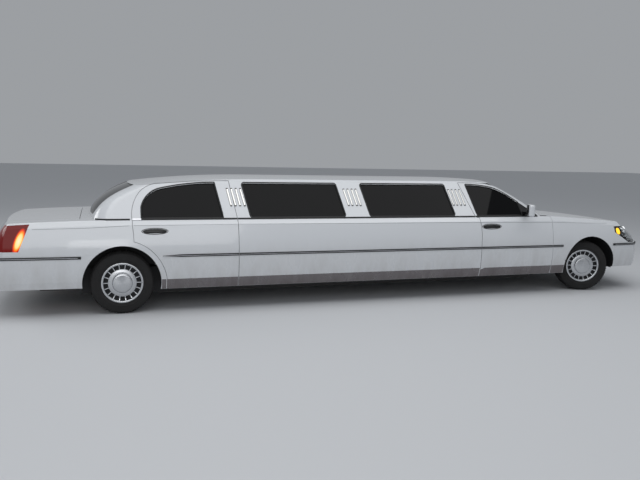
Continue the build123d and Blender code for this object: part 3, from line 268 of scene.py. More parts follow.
# Finish of each CAD node; names in braces stand for both ends or both sides
NODE_FINISHES = (
    (body_enamel, "boot_lid front_bumper front_fenders hood rear_body rear_bumper roof_panel stretch_side_panels"
                  " windscreen_frame {end}_door_{side}"),
    (smoked_glass, "rear_window stretch_side_glass {end}_door_glass_{side}"),
    (laminated_glass, "windscreen"),
    (chrome_plate, "grille"),
    (clear_acrylic, "headlamps"),
    (red_acrylic, "tail_lamps"),
    (waxed_steel, "chassis_frame floor_pan front_suspension"),
    (cast_iron, "driveline engine_block rear_axle front_knuckle_{side}"),
    (aluminised_steel, "exhaust"),
    (grained_polypropylene, "wheel_houses"),
    (tyre_rubber, "{end}_tyre_{side}"),
    (cover_aluminium, "{end}_wheel_{side}"),
    (cabin_plastic, "dashboard partition"),
    (seat_leather, "front_seat rear_seat side_bench"),
)
for finish, nodes in NODE_FINISHES:
    for name in nodes.split():
        for node in sorted({name.format(end=end, side=side) for end in ENDS for side in SIDES}):
            slots = bpy.data.objects[node].data.materials
            slots.clear()
            slots.append(finish)


# Inner sides of the CAD's panels: underseal in the wheel wells, the same dark finish as painted shade on the other
# inner sides of the bumpers, fenders and quarters, cabin plastic as painted shade on the doors' edges at the wheel
# arches, lining, trim and carpet in the cabin

ARCH_RADIUS = 408
BUMPER_BACKS = {"rear": rear(-411), "front": front(368)}
BUMPER_CORE_Z = 500
DARK_PANEL_TOP_Z = 930        # top of the underseal and painted shade on the fenders and quarters
DARK_DOOR_TOP_Z = 900         # and of the painted shade on the doors' edges at the wheel arches
MIRROR_ARM_FROM_Y, MIRROR_ARM_TO_Y, MIRROR_ARM_Z = 880, 978, 1036
FLOOR_SHEET_Z = 275


def inner_finish(nodes, finish, chosen):
    """Gives a finish to the faces of CAD nodes for which chosen(centre in mm, normal, side) holds."""
    for node in nodes:
        mesh = bpy.data.objects[node].data
        mesh.materials.append(finish)
        index = len(mesh.materials) - 1
        for face in mesh.polygons:
            centre = face.center / MM
            if chosen(centre, face.normal, 1 if centre.y > 0 else -1):
                face.material_index = index


def in_arch(centre):
    """Whether a face lies inside a wheel arch."""
    return any(Vector((centre.x - x, centre.z - tyre_radius)).length < ARCH_RADIUS + 3
               for x in (x_front_axle, x_rear_axle))


def faces_in(centre, normal, side):
    """Whether a face on one side of the car looks at the centre plane."""
    return normal.y * side < -0.25


def faces_cabin(centre, normal):
    """Whether a face looks at the middle of the cabin."""
    return normal.dot(centre - Vector((centre.x, 0, belt_z))) < -1


DOORS = {end: [f"{end}_door_{side}" for side in SIDES] for end in ENDS}
for end, back_x in BUMPER_BACKS.items():
    core = Vector((back_x, 0, BUMPER_CORE_Z))
    # Underseal in the arches; the bumpers' other inner faces get the same dark finish as painted shade
    inner_finish([f"{end}_bumper"], underseal_and_shade, lambda c, n, s: in_arch(c) or n.dot(c - core) < 0)
# Underseal in the wheel wells; the fenders' and quarters' other inner faces get the same dark finish as painted shade
inner_finish(["front_fenders", "rear_body"], underseal_and_shade,
             lambda c, n, s: c.z < DARK_PANEL_TOP_Z and (in_arch(c) or faces_in(c, n, s)))
inner_finish(["rear_body", "windscreen_frame", "roof_panel", "stretch_side_panels"], cabin_lining,
             lambda c, n, s: c.z > belt_z and faces_cabin(c, n))
inner_finish(["stretch_side_panels", "windscreen_frame"], cabin_plastic,
             lambda c, n, s: c.z <= belt_z and (faces_in(c, n, s) or n.x < -0.5))
# Cabin plastic on the doors' inner faces; on their faces inside the wheel arches it is painted shade
inner_finish(DOORS["front"] + DOORS["rear"], cabin_plastic,
             lambda c, n, s: faces_in(c, n, s) or (in_arch(c) and c.z < DARK_DOOR_TOP_Z))
inner_finish(["floor_pan"], pile_carpet, lambda c, n, s: c.z > FLOOR_SHEET_Z and n.z > -0.5)
inner_finish(DOORS["front"], handle_abs,
             lambda c, n, s: MIRROR_ARM_FROM_Y < abs(c.y) < MIRROR_ARM_TO_Y and c.z > MIRROR_ARM_Z)


# Meshes

MERGE = 0.00002                # points nearer than this, in metres, are one
SHARP = radians(38)            # edges turned by more than this stay sharp


def bare_mesh(name, points, faces, finish, smooth=False):
    """A closed mesh with its normals outwards, from points in millimetres."""
    mesh = bpy.data.meshes.new(name)
    mesh.from_pydata([Vector(p) * MM for p in points], [], faces)
    mesh.materials.append(finish)
    sheet = bmesh.new()
    sheet.from_mesh(mesh)
    bmesh.ops.remove_doubles(sheet, verts=sheet.verts, dist=MERGE)
    bmesh.ops.recalc_face_normals(sheet, faces=sheet.faces)
    sheet.to_mesh(mesh)
    sheet.free()
    if smooth:
        mesh.shade_smooth()
        mesh.set_sharp_from_angle(angle=SHARP)
    else:
        mesh.shade_flat()
    return mesh


def linked(name, data):
    """An object of its own for a mesh, a lamp or a camera."""
    made = bpy.data.objects.new(name, data)
    bpy.context.collection.objects.link(made)
    return made


def riding(name, mesh, body):
    """A finished mesh as a piece that rides on a body."""
    made = linked(name, mesh)
    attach(made, body)
    return made


def new_piece(name, points, faces, finish, body, slot, smooth=True):
    """A piece from points in millimetres, riding on a body."""
    return riding(name, bare_mesh(name, points, faces, finish, smooth), body)


def evaluated_mesh(thing):
    """What an object's modifiers make of it, as a mesh of its own."""
    bpy.context.view_layer.update()
    return bpy.data.meshes.new_from_object(thing.evaluated_get(bpy.context.evaluated_depsgraph_get()))


def soften(piece, width_mm):
    """Rounds a piece's sharp edges."""
    edge = piece.modifiers.new("soft_edge", "BEVEL")
    edge.width, edge.segments, edge.limit_method = width_mm * MM, 2, "ANGLE"


def lattice(rows, n, looped=False, wrapped=True):
    """Faces between rows of n points: wrapped closes each row, looped joins the last row to the first."""
    return [(i * n + j, i * n + (j + 1) % n, (i + 1) % rows * n + (j + 1) % n, (i + 1) % rows * n + j)
            for i in range(rows if looped else rows - 1) for j in range(n if wrapped else n - 1)]


def row_caps(rows, n):
    """The end faces of a lattice whose rows are closed."""
    return [tuple(range(n)), tuple((rows - 1) * n + j for j in reversed(range(n)))]


def swept(path, profile, closed=False):
    """Points and faces of a profile carried along a path.

    path: rows of (place, across, out), vectors in millimetres; profile: (across, out) pairs, closed.
    """
    points = [p + a * u + o * v for p, a, o in path for u, v in profile]
    n, rows = len(profile), len(path)
    return points, lattice(rows, n, looped=closed) + ([] if closed else row_caps(rows, n))


def prism(outline, across, start, stop):
    """An outline in (x, z) run across the car, or in (y, z) run along it, as points and faces."""
    n = len(outline)
    points = [(a, b, z) if across else (b, a, z) for b in (start, stop) for a, z in outline]
    faces = [tuple(range(n)), tuple(range(2 * n - 1, n - 1, -1))]
    return points, faces + [(i, n + i, n + (i + 1) % n, (i + 1) % n) for i in range(n)]


def oval(count, half_x, half_z, roundness):
    """Places round an oval; a roundness of 1 is a plain oval, and less is squarer."""
    turns = [2 * pi * i / count for i in range(count)]
    return [[copysign(abs(w) ** roundness * half, w) for w, half in ((cos(a), half_x), (sin(a), half_z))]
            for a in turns]


def joined(parts):
    """Several sets of points and faces as one."""
    points, faces = [], []
    for more_points, more_faces in parts:
        start = len(points)
        points += more_points
        faces += [tuple(i + start for i in face) for face in more_faces]
    return points, faces


def tree_of(*nodes):
    """A search tree over the triangles of CAD nodes, in millimetres."""
    points, faces = [], []
    for node in nodes:
        mesh = bpy.data.objects[node].data
        start = len(points)
        points += [v.co / MM for v in mesh.vertices]
        faces += [[i + start for i in p.vertices] for p in mesh.polygons]
    return BVHTree.FromPolygons(points, faces)


body_skin = tree_of("front_fenders", "rear_body", "stretch_side_panels", "front_bumper", "rear_bumper",
                    "front_door_right", "front_door_left", "rear_door_right", "rear_door_left")


def skin_y(x, z, sign):
    """Y of the body's outer face at a place on its side, in millimetres."""
    hit = body_skin.ray_cast(Vector((x, sign * 1400, z)), Vector((0, -sign, 0)), 900)
    return hit[0].y


def steps(start, stop, pitch):
    """Even steps from start to stop, no further apart than pitch."""
    count = max(1, round(abs(stop - start) / pitch + 0.5))
    return [start + (stop - start) * i / count for i in range(count + 1)]


UP = Vector((0, 0, 1))


def side_strip(x0, x1, height, sign, profile, pitch=60, point=0):
    """A strip along the body's side between two places; height(x) is its place in Z.

    point is the length over which its rear end runs out to a point.
    """
    path = []
    for x in steps(x0, x1, pitch):
        z = height(x)
        width = min(1.0, 0.25 + 0.75 * (x - x0) / point) if point else 1.0
        path.append((Vector((x, skin_y(x, z, sign), z)), UP * width, Vector((0, sign, 0))))
    return swept(path, profile)


def side_band(x0, x1, rows, sign, proud, pitch=90):
    """A thin sheet over the body's side between two places; rows are the heights that it follows."""
    points, columns = [], steps(x0, x1, pitch)
    for x in columns:
        edge = [(skin_y(x, z, sign), z) for z in rows]
        loop = [(edge[0][0] - sign, rows[0] - 0.5)] + [(y + sign * proud, z) for y, z in edge]
        loop.append((edge[-1][0] - sign, rows[-1] + 0.5))
        points += [Vector((x, y, z)) for y, z in loop]
    n = len(rows) + 2
    return points, lattice(len(columns), n) + row_caps(len(columns), n)


# Stretches of the car's side, one for each body's own panel: node's short name, body, from, to

SIDE_RUNS = (
    ("rear_quarter", "body", rear(330), rear(352)),
    ("rear_door", "rear_door_{side}_body", rear(370), rear(1250)),
    ("stretch_panel", "body", rear(1261), front(-1688)),
    ("front_door", "front_door_{side}_body", front(-1677), front(-620)),
    ("fender", "body", front(-609), front(-455)),
)
MOULDING_STARTS = {"rear_door": rear(425)}
MOULDING_POINT = 190           # length of the pointed rear end of the doors' moulding
SILL_ENDS = {"rear_quarter": (rear(412), rear(458)), "rear_door": (rear(465), rear(1250)),
             "fender": (front(-609), front(-413))}
MOULDING_Z = 630
MOULDING = [(-15, -2), (-14, 5), (-8, 9), (8, 9), (14, 5), (15, -2)]
MOULDING_BEAD = [(-3, 8), (-2, 10.5), (2, 10.5), (3, 8)]
SILL_ROWS = [sill_z + 2, 290, 330, trim_z - 8, trim_z]


# Height of the coach line at places along the car, with its own ends beside the panel gaps
COACH_LINE = ((rear(-895), 926), (rear(-350), 936), (rear(100), 957), (rear(1337), 960), (front(-2300), 951),
              (front(-1300), 944), (front(-500), 934), (front(300), 912))
COACH_ENDS = {"rear_quarter": (rear(-880), rear(108)), "rear_door": (rear(123), rear(1250)),
              "fender": (front(-609), front(285))}
COACH_TAPE = [(-2.2, -1), (-2.2, 0.5), (2.2, 0.5), (2.2, -1)]


def moulding_height(x):
    """Height of the side moulding, the same all along the car."""
    return MOULDING_Z


def coach_height(x):
    """Height of the coach line at a place along the car."""
    for (x0, z0), (x1, z1) in zip(COACH_LINE, COACH_LINE[1:]):
        if x <= x1:
            return z0 + (z1 - z0) * (x - x0) / (x1 - x0)
    return COACH_LINE[-1][1]


def side_trim():
    """The rubber moulding with its bright bead and the stainless sill trim, one piece for each panel."""
    for side, sign in SIDES.items():
        for run, body, x0, x1 in SIDE_RUNS:
            body = body.format(side=side)
            if run != "rear_quarter":
                start = MOULDING_STARTS.get(run, x0)
                point = MOULDING_POINT if run in MOULDING_STARTS else 0
                new_piece(f"{run}_moulding_{side}",
                          *side_strip(start, x1, moulding_height, sign, MOULDING, point=point), seal_rubber, body,
                          "liner_plastic")
                new_piece(f"{run}_moulding_bead_{side}",
                          *side_strip(start + 4, x1 - 4, moulding_height, sign, MOULDING_BEAD), chrome_plate,
                          body, "chrome_trim")
            c0, c1 = COACH_ENDS.get(run, (x0, x1))
            new_piece(f"{run}_coach_line_{side}", *side_strip(c0, c1, coach_height, sign, COACH_TAPE, 40), vinyl_tape,
                      body, "liner_plastic")
            s0, s1 = SILL_ENDS.get(run, (x0, x1))
            new_piece(f"{run}_sill_trim_{side}", *side_band(s0, s1, SILL_ROWS, sign, 2.0), stainless_sheet, body,
                      "chrome_trim")


side_trim()


# Windows: a rubber seal round each pane, the strip below the glass and the bars on the pillars

def pane_outline(node, sign, x0=-1e9, x1=1e9):
    """The outline of one pane's outer face, as points in millimetres round it."""
    places = [v.co / MM for v in bpy.data.objects[node].data.vertices]
    places = [p for p in places if p.y * sign > 0 and x0 < p.x < x1]
    loop = [places[i] for i in convex_hull_2d([(p.x, p.z) for p in places])]
    outer = []
    for p in loop:
        beside = [q for q in places if abs(q.x - p.x) < 2 and abs(q.z - p.z) < 2]
        outer.append(max(beside, key=lambda q: abs(q.y)))
    return outer


def evened(loop, pitch):
    """A closed loop of points with more of them on its long stretches."""
    even = []
    for p, q in zip(loop, loop[1:] + loop[:1]):
        count = max(1, round((q - p).length / pitch))
        even += [p.lerp(q, i / count) for i in range(count)]
    return even


GLASS_INSET = 12
SEAL_PITCH = 60
SEAL = [(-9, -GLASS_INSET + 0.3), (-8, -8.5), (-2.5, 1.6), (0, 2.6), (11, 2.6), (13, -0.6)]
FLANGE_MIDDLE = 9              # from the edge of the glass opening to the middle of the seal's flange


def cabin_out(sign):
    """The way out of the cabin's leaning side."""
    return Vector((0, sign, cabin_slope)).normalized()


def window_seal(name, node, side, body, x0=-1e9, x1=1e9):
    """The rubber round one pane; its flange lies on the frame, however far the frame bows out."""
    sign = SIDES[side]
    loop = evened(pane_outline(node, sign, x0, x1), SEAL_PITCH)
    out = cabin_out(sign)
    skin = tree_of("stretch_side_panels" if body == "body" else body.removesuffix("_body"))
    middle = sum(loop, Vector()) / len(loop)
    path = []
    for i, p in enumerate(loop):
        along = (loop[(i + 1) % len(loop)] - loop[i - 1]).normalized()
        across = along.cross(out).normalized()
        if across.dot(p - middle) < 0:
            across = -across
        place = p + out * GLASS_INSET
        hit = skin.ray_cast(place + across * FLANGE_MIDDLE + out * 30, -out, 40)[0]
        lift = max(0, (hit - place).dot(out)) if hit else 0
        path.append((place + out * lift, across, out))
    return new_piece(name, *swept(path, SEAL, closed=True), seal_rubber, body, "liner_plastic")


STRETCH_PANES = (("rear", rear(1300), rear(2650)), ("front", rear(2750), rear(4100)))
BELT_STRIP_Z = belt_z + 5
BELT_STRIP = [(-9, -2), (-9, 4), (-6, 7), (6, 7), (9, 4), (9, -2)]
BELT_CLIP = [(u * 1.15, v * 1.3) for u, v in BELT_STRIP]
ROOF_PILLAR_FOOT = (rear(-262), rear(88))
BELT_RUNS = (
    ("rear_door", "rear_door_{side}_body", rear(206), rear(1249)),
    ("stretch_panel", "body", rear(1259), front(-1747)),
    ("front_door", "front_door_{side}_body", front(-1733), front(-815)),
)


def cabin_side(x, z, sign):
    """A place on the cabin's leaning side."""
    return Vector((x, sign * (890 - (z - belt_z) * cabin_slope), z))


def leaning_strip(x0, z0, x1, z1, sign, profile):
    """A straight strip on the cabin's side between two places."""
    out = cabin_out(sign)
    start, stop = cabin_side(x0, z0, sign), cabin_side(x1, z1, sign)
    along = (stop - start).normalized()
    across = out.cross(along)
    return swept([(start, across, out), (stop, across, out)], profile)


# Bars on the cabin's pillars: places from the rear axle at the foot and at the top; the first is on the rear door
PILLAR_BARS = ((1197, 1166), (1247, 1216), (1299, 1268), (1353, 1320), (2617, 2584), (2664, 2635), (2722, 2689),
               (2769, 2738), (4033, 4003), (4082, 4053), (4136, 4107), (4190, 4158))
BAR_FOOT_Z, BAR_TOP_Z = 1160, 1338
BAR = [(-9.5, -1), (-9.5, 3), (-6, 5), (6, 5), (9.5, 3), (9.5, -1)]
# Painted shade: black caps at each bar's ends stand for their dark reflections, and a black bed a little wider than
# each bar paints the thin shadow lines beside it
BAR_SHADE_CAP = [(-10.5, -1), (-10.5, 5), (-7, 7), (7, 7), (10.5, 5), (10.5, -1)]
BAR_SHADOW_BED = [(-12.5, -1), (-12.5, 1.2), (12.5, 1.2), (12.5, -1)]
BAR_SHADE_CAP_HEIGHT = 9


def cabin_trim():
    """Seals, belt strips, pillar bars with black caps and beds round them as painted shade, and the strip at the roof
    pillar's foot.
    """
    for side, sign in SIDES.items():
        for end in ENDS:
            window_seal(f"{end}_door_window_seal_{side}", f"{end}_door_glass_{side}", side,
                        f"{end}_door_{side}_body")
        for word, x0, x1 in STRETCH_PANES:
            window_seal(f"stretch_window_seal_{word}_{side}", "stretch_side_glass", side, "body", x0, x1)
        for run, body, x0, x1 in BELT_RUNS:
            new_piece(f"{run}_belt_strip_{side}",
                      *leaning_strip(x0, BELT_STRIP_Z, x1, BELT_STRIP_Z, sign, BELT_STRIP), seal_rubber,
                      body.format(side=side), "liner_plastic")
        lean = (PILLAR_BARS[0][1] - PILLAR_BARS[0][0]) / (BAR_TOP_Z - BAR_FOOT_Z)
        for word, body, places in (("door", f"rear_door_{side}_body", PILLAR_BARS[:1]),
                                   ("panel", "body", PILLAR_BARS[1:])):
            bars, shade_strips = [], []
            for foot, top in places:
                line = (rear(foot), BAR_FOOT_Z, rear(top), BAR_TOP_Z, sign)
                bars.append(leaning_strip(*line, BAR))
                shade_strips.append(leaning_strip(*line, BAR_SHADOW_BED))
                for x, z, rise in ((foot, BAR_FOOT_Z, -BAR_SHADE_CAP_HEIGHT), (top, BAR_TOP_Z, BAR_SHADE_CAP_HEIGHT)):
                    shade_strips.append(leaning_strip(rear(x), z, rear(x + lean * rise), z + rise, sign, BAR_SHADE_CAP))
            new_piece(f"pillar_bars_{word}_{side}", *joined(bars), polished_stainless, body, "chrome_trim")
            # Painted shade: the black beds and caps of the bars, in rubber
            new_piece(f"pillar_bar_ends_{word}_{side}", *joined(shade_strips), seal_rubber, body, "liner_plastic")
        new_piece(f"rear_door_belt_clip_{side}",
                  *leaning_strip(rear(112), BELT_STRIP_Z, rear(204), BELT_STRIP_Z, sign, BELT_CLIP), chrome_plate,
                  f"rear_door_{side}_body", "chrome_trim")
        path = []
        for x in steps(*ROOF_PILLAR_FOOT, 25):
            place = Vector((x, skin_y(x, BELT_STRIP_Z, sign), BELT_STRIP_Z))
            beside = Vector((x + 5, skin_y(x + 5, BELT_STRIP_Z, sign), BELT_STRIP_Z)) - place
            out = beside.cross(UP) * -sign
            path.append((place, UP, out.normalized()))
        new_piece(f"roof_pillar_belt_strip_{side}", *swept(path, BELT_STRIP), seal_rubber, "body",
                  "liner_plastic")


cabin_trim()


# Door handles: a black cup in each recess and a grip bar across it

HANDLE_LENGTH, HANDLE_HEIGHT, HANDLE_Z = 272, 60, 896
HANDLE_ROUNDNESS = 2 / 2.15
GRIP = [(-13, -6), (-12, 2), (-6, 6.5), (4, 5), (12, -1), (11, -6), (0, -8)]
CUP_FLOOR_Y = 956
CUP_RINGS = ((5, -1), (5, 2.5), (2, 4.5), (-2, 3), (-4, -2))     # growth of the oval, height above the skin
HANDLES = (("rear", rear(344)), ("front", front(-1530)))


def oval_ring(x, sign, grow, out):
    """Points of an oval on the door, grown by grow and standing out of its face by out."""
    above, below = (skin_y(x, HANDLE_Z + way * HANDLE_HEIGHT, sign) for way in (1, -1))
    tilt = (abs(below) - abs(above)) / (2 * HANDLE_HEIGHT)
    return [Vector((x + dx, (above + below) / 2 + sign * (out - dz * tilt), HANDLE_Z + dz)) for dx, dz in
            oval(48, HANDLE_LENGTH / 2 + grow, HANDLE_HEIGHT / 2 + grow, HANDLE_ROUNDNESS)]


def rings_joined(rings, cap_last=True):
    """Points and faces of a shell through rings of points, open at the first ring."""
    rows, n = len(rings), len(rings[0])
    return [p for ring in rings for p in ring], lattice(rows, n) + ([row_caps(rows, n)[1]] if cap_last else [])


def door_handles():
    for side, sign in SIDES.items():
        for end, x in HANDLES:
            body = f"{end}_door_{side}_body"
            cup = [oval_ring(x, sign, grow, out) for grow, out in CUP_RINGS]
            cup.append([Vector((p.x, sign * CUP_FLOOR_Y, p.z)) for p in oval_ring(x, sign, -9, 0)])
            new_piece(f"{end}_door_handle_cup_{side}", *rings_joined(cup), handle_abs, body, "liner_plastic")
            points = []
            ways = steps(-HANDLE_LENGTH / 2 + 12, HANDLE_LENGTH / 2 - 12, 16)
            for dx in ways:
                share = (1 - (dx / (HANDLE_LENGTH / 2)) ** 2) ** 0.6
                y = skin_y(x, HANDLE_Z, sign) + sign * 11 * (share - 0.6)
                points += [Vector((x + dx, y + sign * v, HANDLE_Z + 2 + u * (0.35 + 0.65 * share))) for u, v in GRIP]
            rows, n = len(ways), len(GRIP)
            new_piece(f"{end}_door_handle_grip_{side}", points, lattice(rows, n) + row_caps(rows, n), handle_abs,
                      body, "liner_plastic")


door_handles()


# Repeats: one Geometry Nodes tree that turns and shifts copies of a small mesh

def repeat_tree():
    """Copies of the mesh, each turned and shifted once more than the last."""
    tree = bpy.data.node_groups.new("repeat", "GeometryNodeTree")
    sockets = (("Geometry", "INPUT", "NodeSocketGeometry"), ("Count", "INPUT", "NodeSocketInt"),
               ("Turn", "INPUT", "NodeSocketVector"), ("Shift", "INPUT", "NodeSocketVector"),
               ("Finish", "INPUT", "NodeSocketMaterial"), ("Geometry", "OUTPUT", "NodeSocketGeometry"))
    for name, way, kind in sockets:
        tree.interface.new_socket(name, in_out=way, socket_type=kind)
    given = add_node(tree, "NodeGroupInput")
    index = add_node(tree, "GeometryNodeInputIndex")
    turn, shift = (add_node(tree, "ShaderNodeVectorMath", operation="SCALE",
                            links={0: given.outputs[name], "Scale": index.outputs["Index"]})
                   for name in ("Turn", "Shift"))
    places = add_node(tree, "GeometryNodePoints", links={"Count": given.outputs["Count"],
                                                         "Position": shift.outputs["Vector"]})
    copies = add_node(tree, "GeometryNodeInstanceOnPoints",
                      links={"Points": places.outputs[0], "Instance": given.outputs["Geometry"],
                             "Rotation": turn.outputs["Vector"]})
    real = add_node(tree, "GeometryNodeRealizeInstances", links={"Geometry": copies.outputs["Instances"]})
    finished = add_node(tree, "GeometryNodeSetMaterial", links={"Geometry": real.outputs["Geometry"],
                                                                "Material": given.outputs["Finish"]})
    add_node(tree, "NodeGroupOutput", links={"Geometry": finished.outputs["Geometry"]})
    return tree


REPEAT = repeat_tree()
REPEAT_SOCKETS = {item.name: item.identifier for item in REPEAT.interface.items_tree if item.in_out == "INPUT"}


def repeated(mesh, finish, count, turn=(0, 0, 0), shift_mm=(0, 0, 0)):
    """The mesh copied count times by the repeat tree, as a mesh of its own."""
    holder = linked("repeat_holder", mesh)
    maker = holder.modifiers.new("repeat", "NODES")
    maker.node_group = REPEAT
    for name, value in (("Count", count), ("Turn", turn), ("Shift", [s * MM for s in shift_mm]),
                        ("Finish", finish)):
        maker[REPEAT_SOCKETS[name]] = value
    made = evaluated_mesh(holder)
    bpy.data.objects.remove(holder)
    return made


def placed(name, meshes, matrix, body):
    """One piece of several meshes, moved by a matrix whose place is in millimetres, riding on a body."""
    sheet = bmesh.new()
    finishes = []
    for mesh in meshes:
        start = len(sheet.faces)
        sheet.from_mesh(mesh)
        sheet.faces.ensure_lookup_table()
        finish = mesh.materials[0]
        if finish not in finishes:
            finishes.append(finish)
        for face in sheet.faces[start:]:
            face.material_index = finishes.index(finish)
    move = matrix.copy()
    move.translation *= MM
    bmesh.ops.transform(sheet, matrix=move, verts=sheet.verts)
    if move.determinant() < 0:
        bmesh.ops.reverse_faces(sheet, faces=sheet.faces)
    mesh = bpy.data.meshes.new(name)
    sheet.to_mesh(mesh)
    sheet.free()
    for finish in finishes:
        mesh.materials.append(finish)
    return riding(name, mesh, body)


def turned(name, profile, finish, segments=96):
    """A closed profile of (radius, outwards) pairs turned about the axle; outwards is -Y."""
    points = []
    for i in range(segments):
        a = 2 * pi * i / segments
        points += [(r * cos(a), -out, r * sin(a)) for r, out in profile]
    return bare_mesh(name, points, lattice(segments, len(profile), looped=True), finish, smooth=True)


# Tyres and wheels, drawn about an axle through the origin along Y, outer face towards -Y

TREAD_CELLS = 66
TREAD_BASE = 330.5
TREAD_TOP = 337.8
TREAD_RIBS = (                 # outwards from, to, slant of the block, its share of the cell's length
    (-92, -62, 0.10, 0.62), (-54, -24, -0.14, 0.78), (-16, 16, 0.0, 0.86), (24, 54, 0.14, 0.78),
    (62, 92, -0.10, 0.62),
)
TYRE_PROFILE = [
    (204, 86), (206, 92), (214, 96.5), (222, 100), (224, 101.2), (227, 101.2), (229, 101.4), (250, 109),
    (251, 110.8), (254, 111.3), (256, 110.4), (272, 112), (292, 110), (306, 105.5), (308, 106.2), (311, 105.5),
    (318, 101), (325, 95.5), (TREAD_BASE, 84), (TREAD_BASE + 0.7, 40), (TREAD_BASE + 0.7, 0),
]
COVER_PROFILE = [
    (193, 70), (194.5, 94), (197, 102), (203, 106.5), (211, 107.5), (217.5, 105.5), (219, 101), (219, 96),
    (214, 94), (206, 86), (201, 70),
]
DOME_PROFILE = [
    (152, 72), (151, 86), (149.5, 92), (146, 95), (140, 95.5), (136, 97), (112, 101), (107, 101.2), (104, 104),
    (101, 110), (97, 112.2), (80, 114.5), (52, 116.8), (24, 118.2), (0.5, 118.6), (0.5, 80), (120, 70),
]
RIM_PROFILE = [
    (219, -103), (219, -97), (204, -88), (202.5, -60), (180, -40), (180, 40), (202.5, 60), (204, 88), (219, 97),
    (219, 92), (199, 84), (193, 62), (174, 40), (174, -98), (180, -104),
]
DISC_PROFILE = [(70, -36), (70, 6), (120, 14), (178, -20), (178, -26), (120, 6), (78, -2), (78, -36)]
COVER_FINS = 18
FIN_STATIONS = ((148, 88, 6), (172, 86, 4), (195, 92, 5.5))     # radius, outwards, half width
WELL_PROFILE = [(196, 74), (196, 66), (146, 66), (146, 74)]
STEM_PROFILE = [(3.2, 0), (3.2, 20), (4.2, 21), (4.2, 28), (0.5, 28), (0.5, 0)]
STEM_PLACE = Vector((206, -84, 0))
WHEEL_NUTS = 5


def tyre_meshes():
    """The carcass with its sidewall ribs, and the tread's blocks round it."""
    half = TYRE_PROFILE + [(r, -out) for r, out in reversed(TYRE_PROFILE[:-1])]
    carcass = turned("tyre_carcass", half, tyre_rubber, 120)
    points, faces = [], []
    cell = 2 * pi / TREAD_CELLS
    for out0, out1, slant, share in TREAD_RIBS:
        start = len(points)
        for r, ease in ((TREAD_BASE - 1, 0.0), (TREAD_TOP - (4.5 if abs(out0 + out1) > 120 else 0), 0.035)):
            for out, way in ((out0, -1), (out1, 1)):
                for edge in (-0.5, 0.5):
                    a = cell * (edge * (share - ease) + slant * way)
                    points.append((r * cos(a), -(out - way * ease * 20), r * sin(a)))
        faces += [tuple(start + i for i in f) for f in
                  ((0, 1, 3, 2), (4, 6, 7, 5), (0, 4, 5, 1), (2, 3, 7, 6), (0, 2, 6, 4), (1, 5, 7, 3))]
    block = bare_mesh("tread_cell", points, faces, tyre_rubber)
    return [carcass, repeated(block, tyre_rubber, TREAD_CELLS, turn=(0, cell, 0))]


def wheel_meshes(cover_finish):
    """The finned cover, the wheel and its nuts behind it, and last the valve's stem."""
    fin = []
    for r, out, half in FIN_STATIONS:
        fin += [(r, -out, -half), (r, -out, half), (r, -70, half + 2), (r, -70, -half - 2)]
    faces = [(0, 1, 2, 3), (8, 11, 10, 9)]
    for i in (0, 4):
        faces += [(i, i + 4, i + 5, i + 1), (i + 1, i + 5, i + 6, i + 2), (i + 2, i + 6, i + 7, i + 3),
                  (i + 3, i + 7, i + 4, i)]
    fins = repeated(bare_mesh("cover_fin", fin, faces, cover_finish), cover_finish, COVER_FINS,
                    turn=(0, 2 * pi / COVER_FINS, 0))
    lugs = repeated(bare_mesh("wheel_nut", *nut(62, 8, -34, -52), cast_iron), cast_iron, WHEEL_NUTS,
                    turn=(0, 2 * pi / WHEEL_NUTS, 0))
    return [
        turned("cover_rim", COVER_PROFILE, cover_finish), fins,
        turned("cover_dome", DOME_PROFILE, cover_finish),
        turned("cover_well", WELL_PROFILE, cover_shadow),
        turned("rim_barrel", RIM_PROFILE, painted_rim), turned("rim_disc", DISC_PROFILE, painted_rim), lugs,
        turned("valve_stem", STEM_PROFILE, seal_rubber, 12),
    ]


def nut(radius, half, out0, out1):
    """A six-sided nut at a radius, along the axle."""
    ring = [(radius + half * cos(pi * i / 3), half * sin(pi * i / 3)) for i in range(6)]
    points = [(x, -out, z) for out in (out0, out1) for x, z in ring]
    faces = [tuple(range(6)), tuple(reversed(range(6, 12)))]
    return points, faces + [(i, i + 6, (i + 1) % 6 + 6, (i + 1) % 6) for i in range(6)]


PARKED_STEER = -18
KINGPIN_INSET = 62
TRACK = {"front": 1610, "rear": 1659}
AXLE_X = {"front": x_front_axle, "rear": x_rear_axle}


def hub_matrix(end, side):
    """From the drawing of a wheel to its place on the car, in millimetres."""
    sign = SIDES[side]
    drawn = Matrix.Identity(4) if sign < 0 else Matrix.Scale(-1, 4, Vector((0, 1, 0)))
    y = sign * TRACK[end] / 2
    if end == "rear":
        return Matrix.Translation((AXLE_X[end], y, tyre_radius)) @ drawn
    pivot_y = y - sign * KINGPIN_INSET
    return (Matrix.Translation((AXLE_X[end], pivot_y, tyre_radius))
            @ Matrix.Rotation(radians(PARKED_STEER), 4, "Z") @ Matrix.Translation((0, y - pivot_y, 0)) @ drawn)


def road_wheels():
    tyres = tyre_meshes()
    for end in ENDS:
        for side in SIDES:
            matrix = hub_matrix(end, side)
            body = f"{end}_wheel_{side}_body"
            finish = turned_metal(f"cover_aluminium_{end}_{side}", matrix)
            tyre = placed(f"{end}_tyre_treaded_{side}", tyres, matrix, body)
            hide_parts(f"{end}_tyre_{side}")
            parts = wheel_meshes(finish)
            parts[-1].transform(Matrix.Translation(STEM_PLACE * MM))
            wheel = placed(f"{end}_wheel_covered_{side}", parts, matrix, body)
            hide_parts(f"{end}_wheel_{side}")


road_wheels()


# Bumper strips, lamps and mirrors

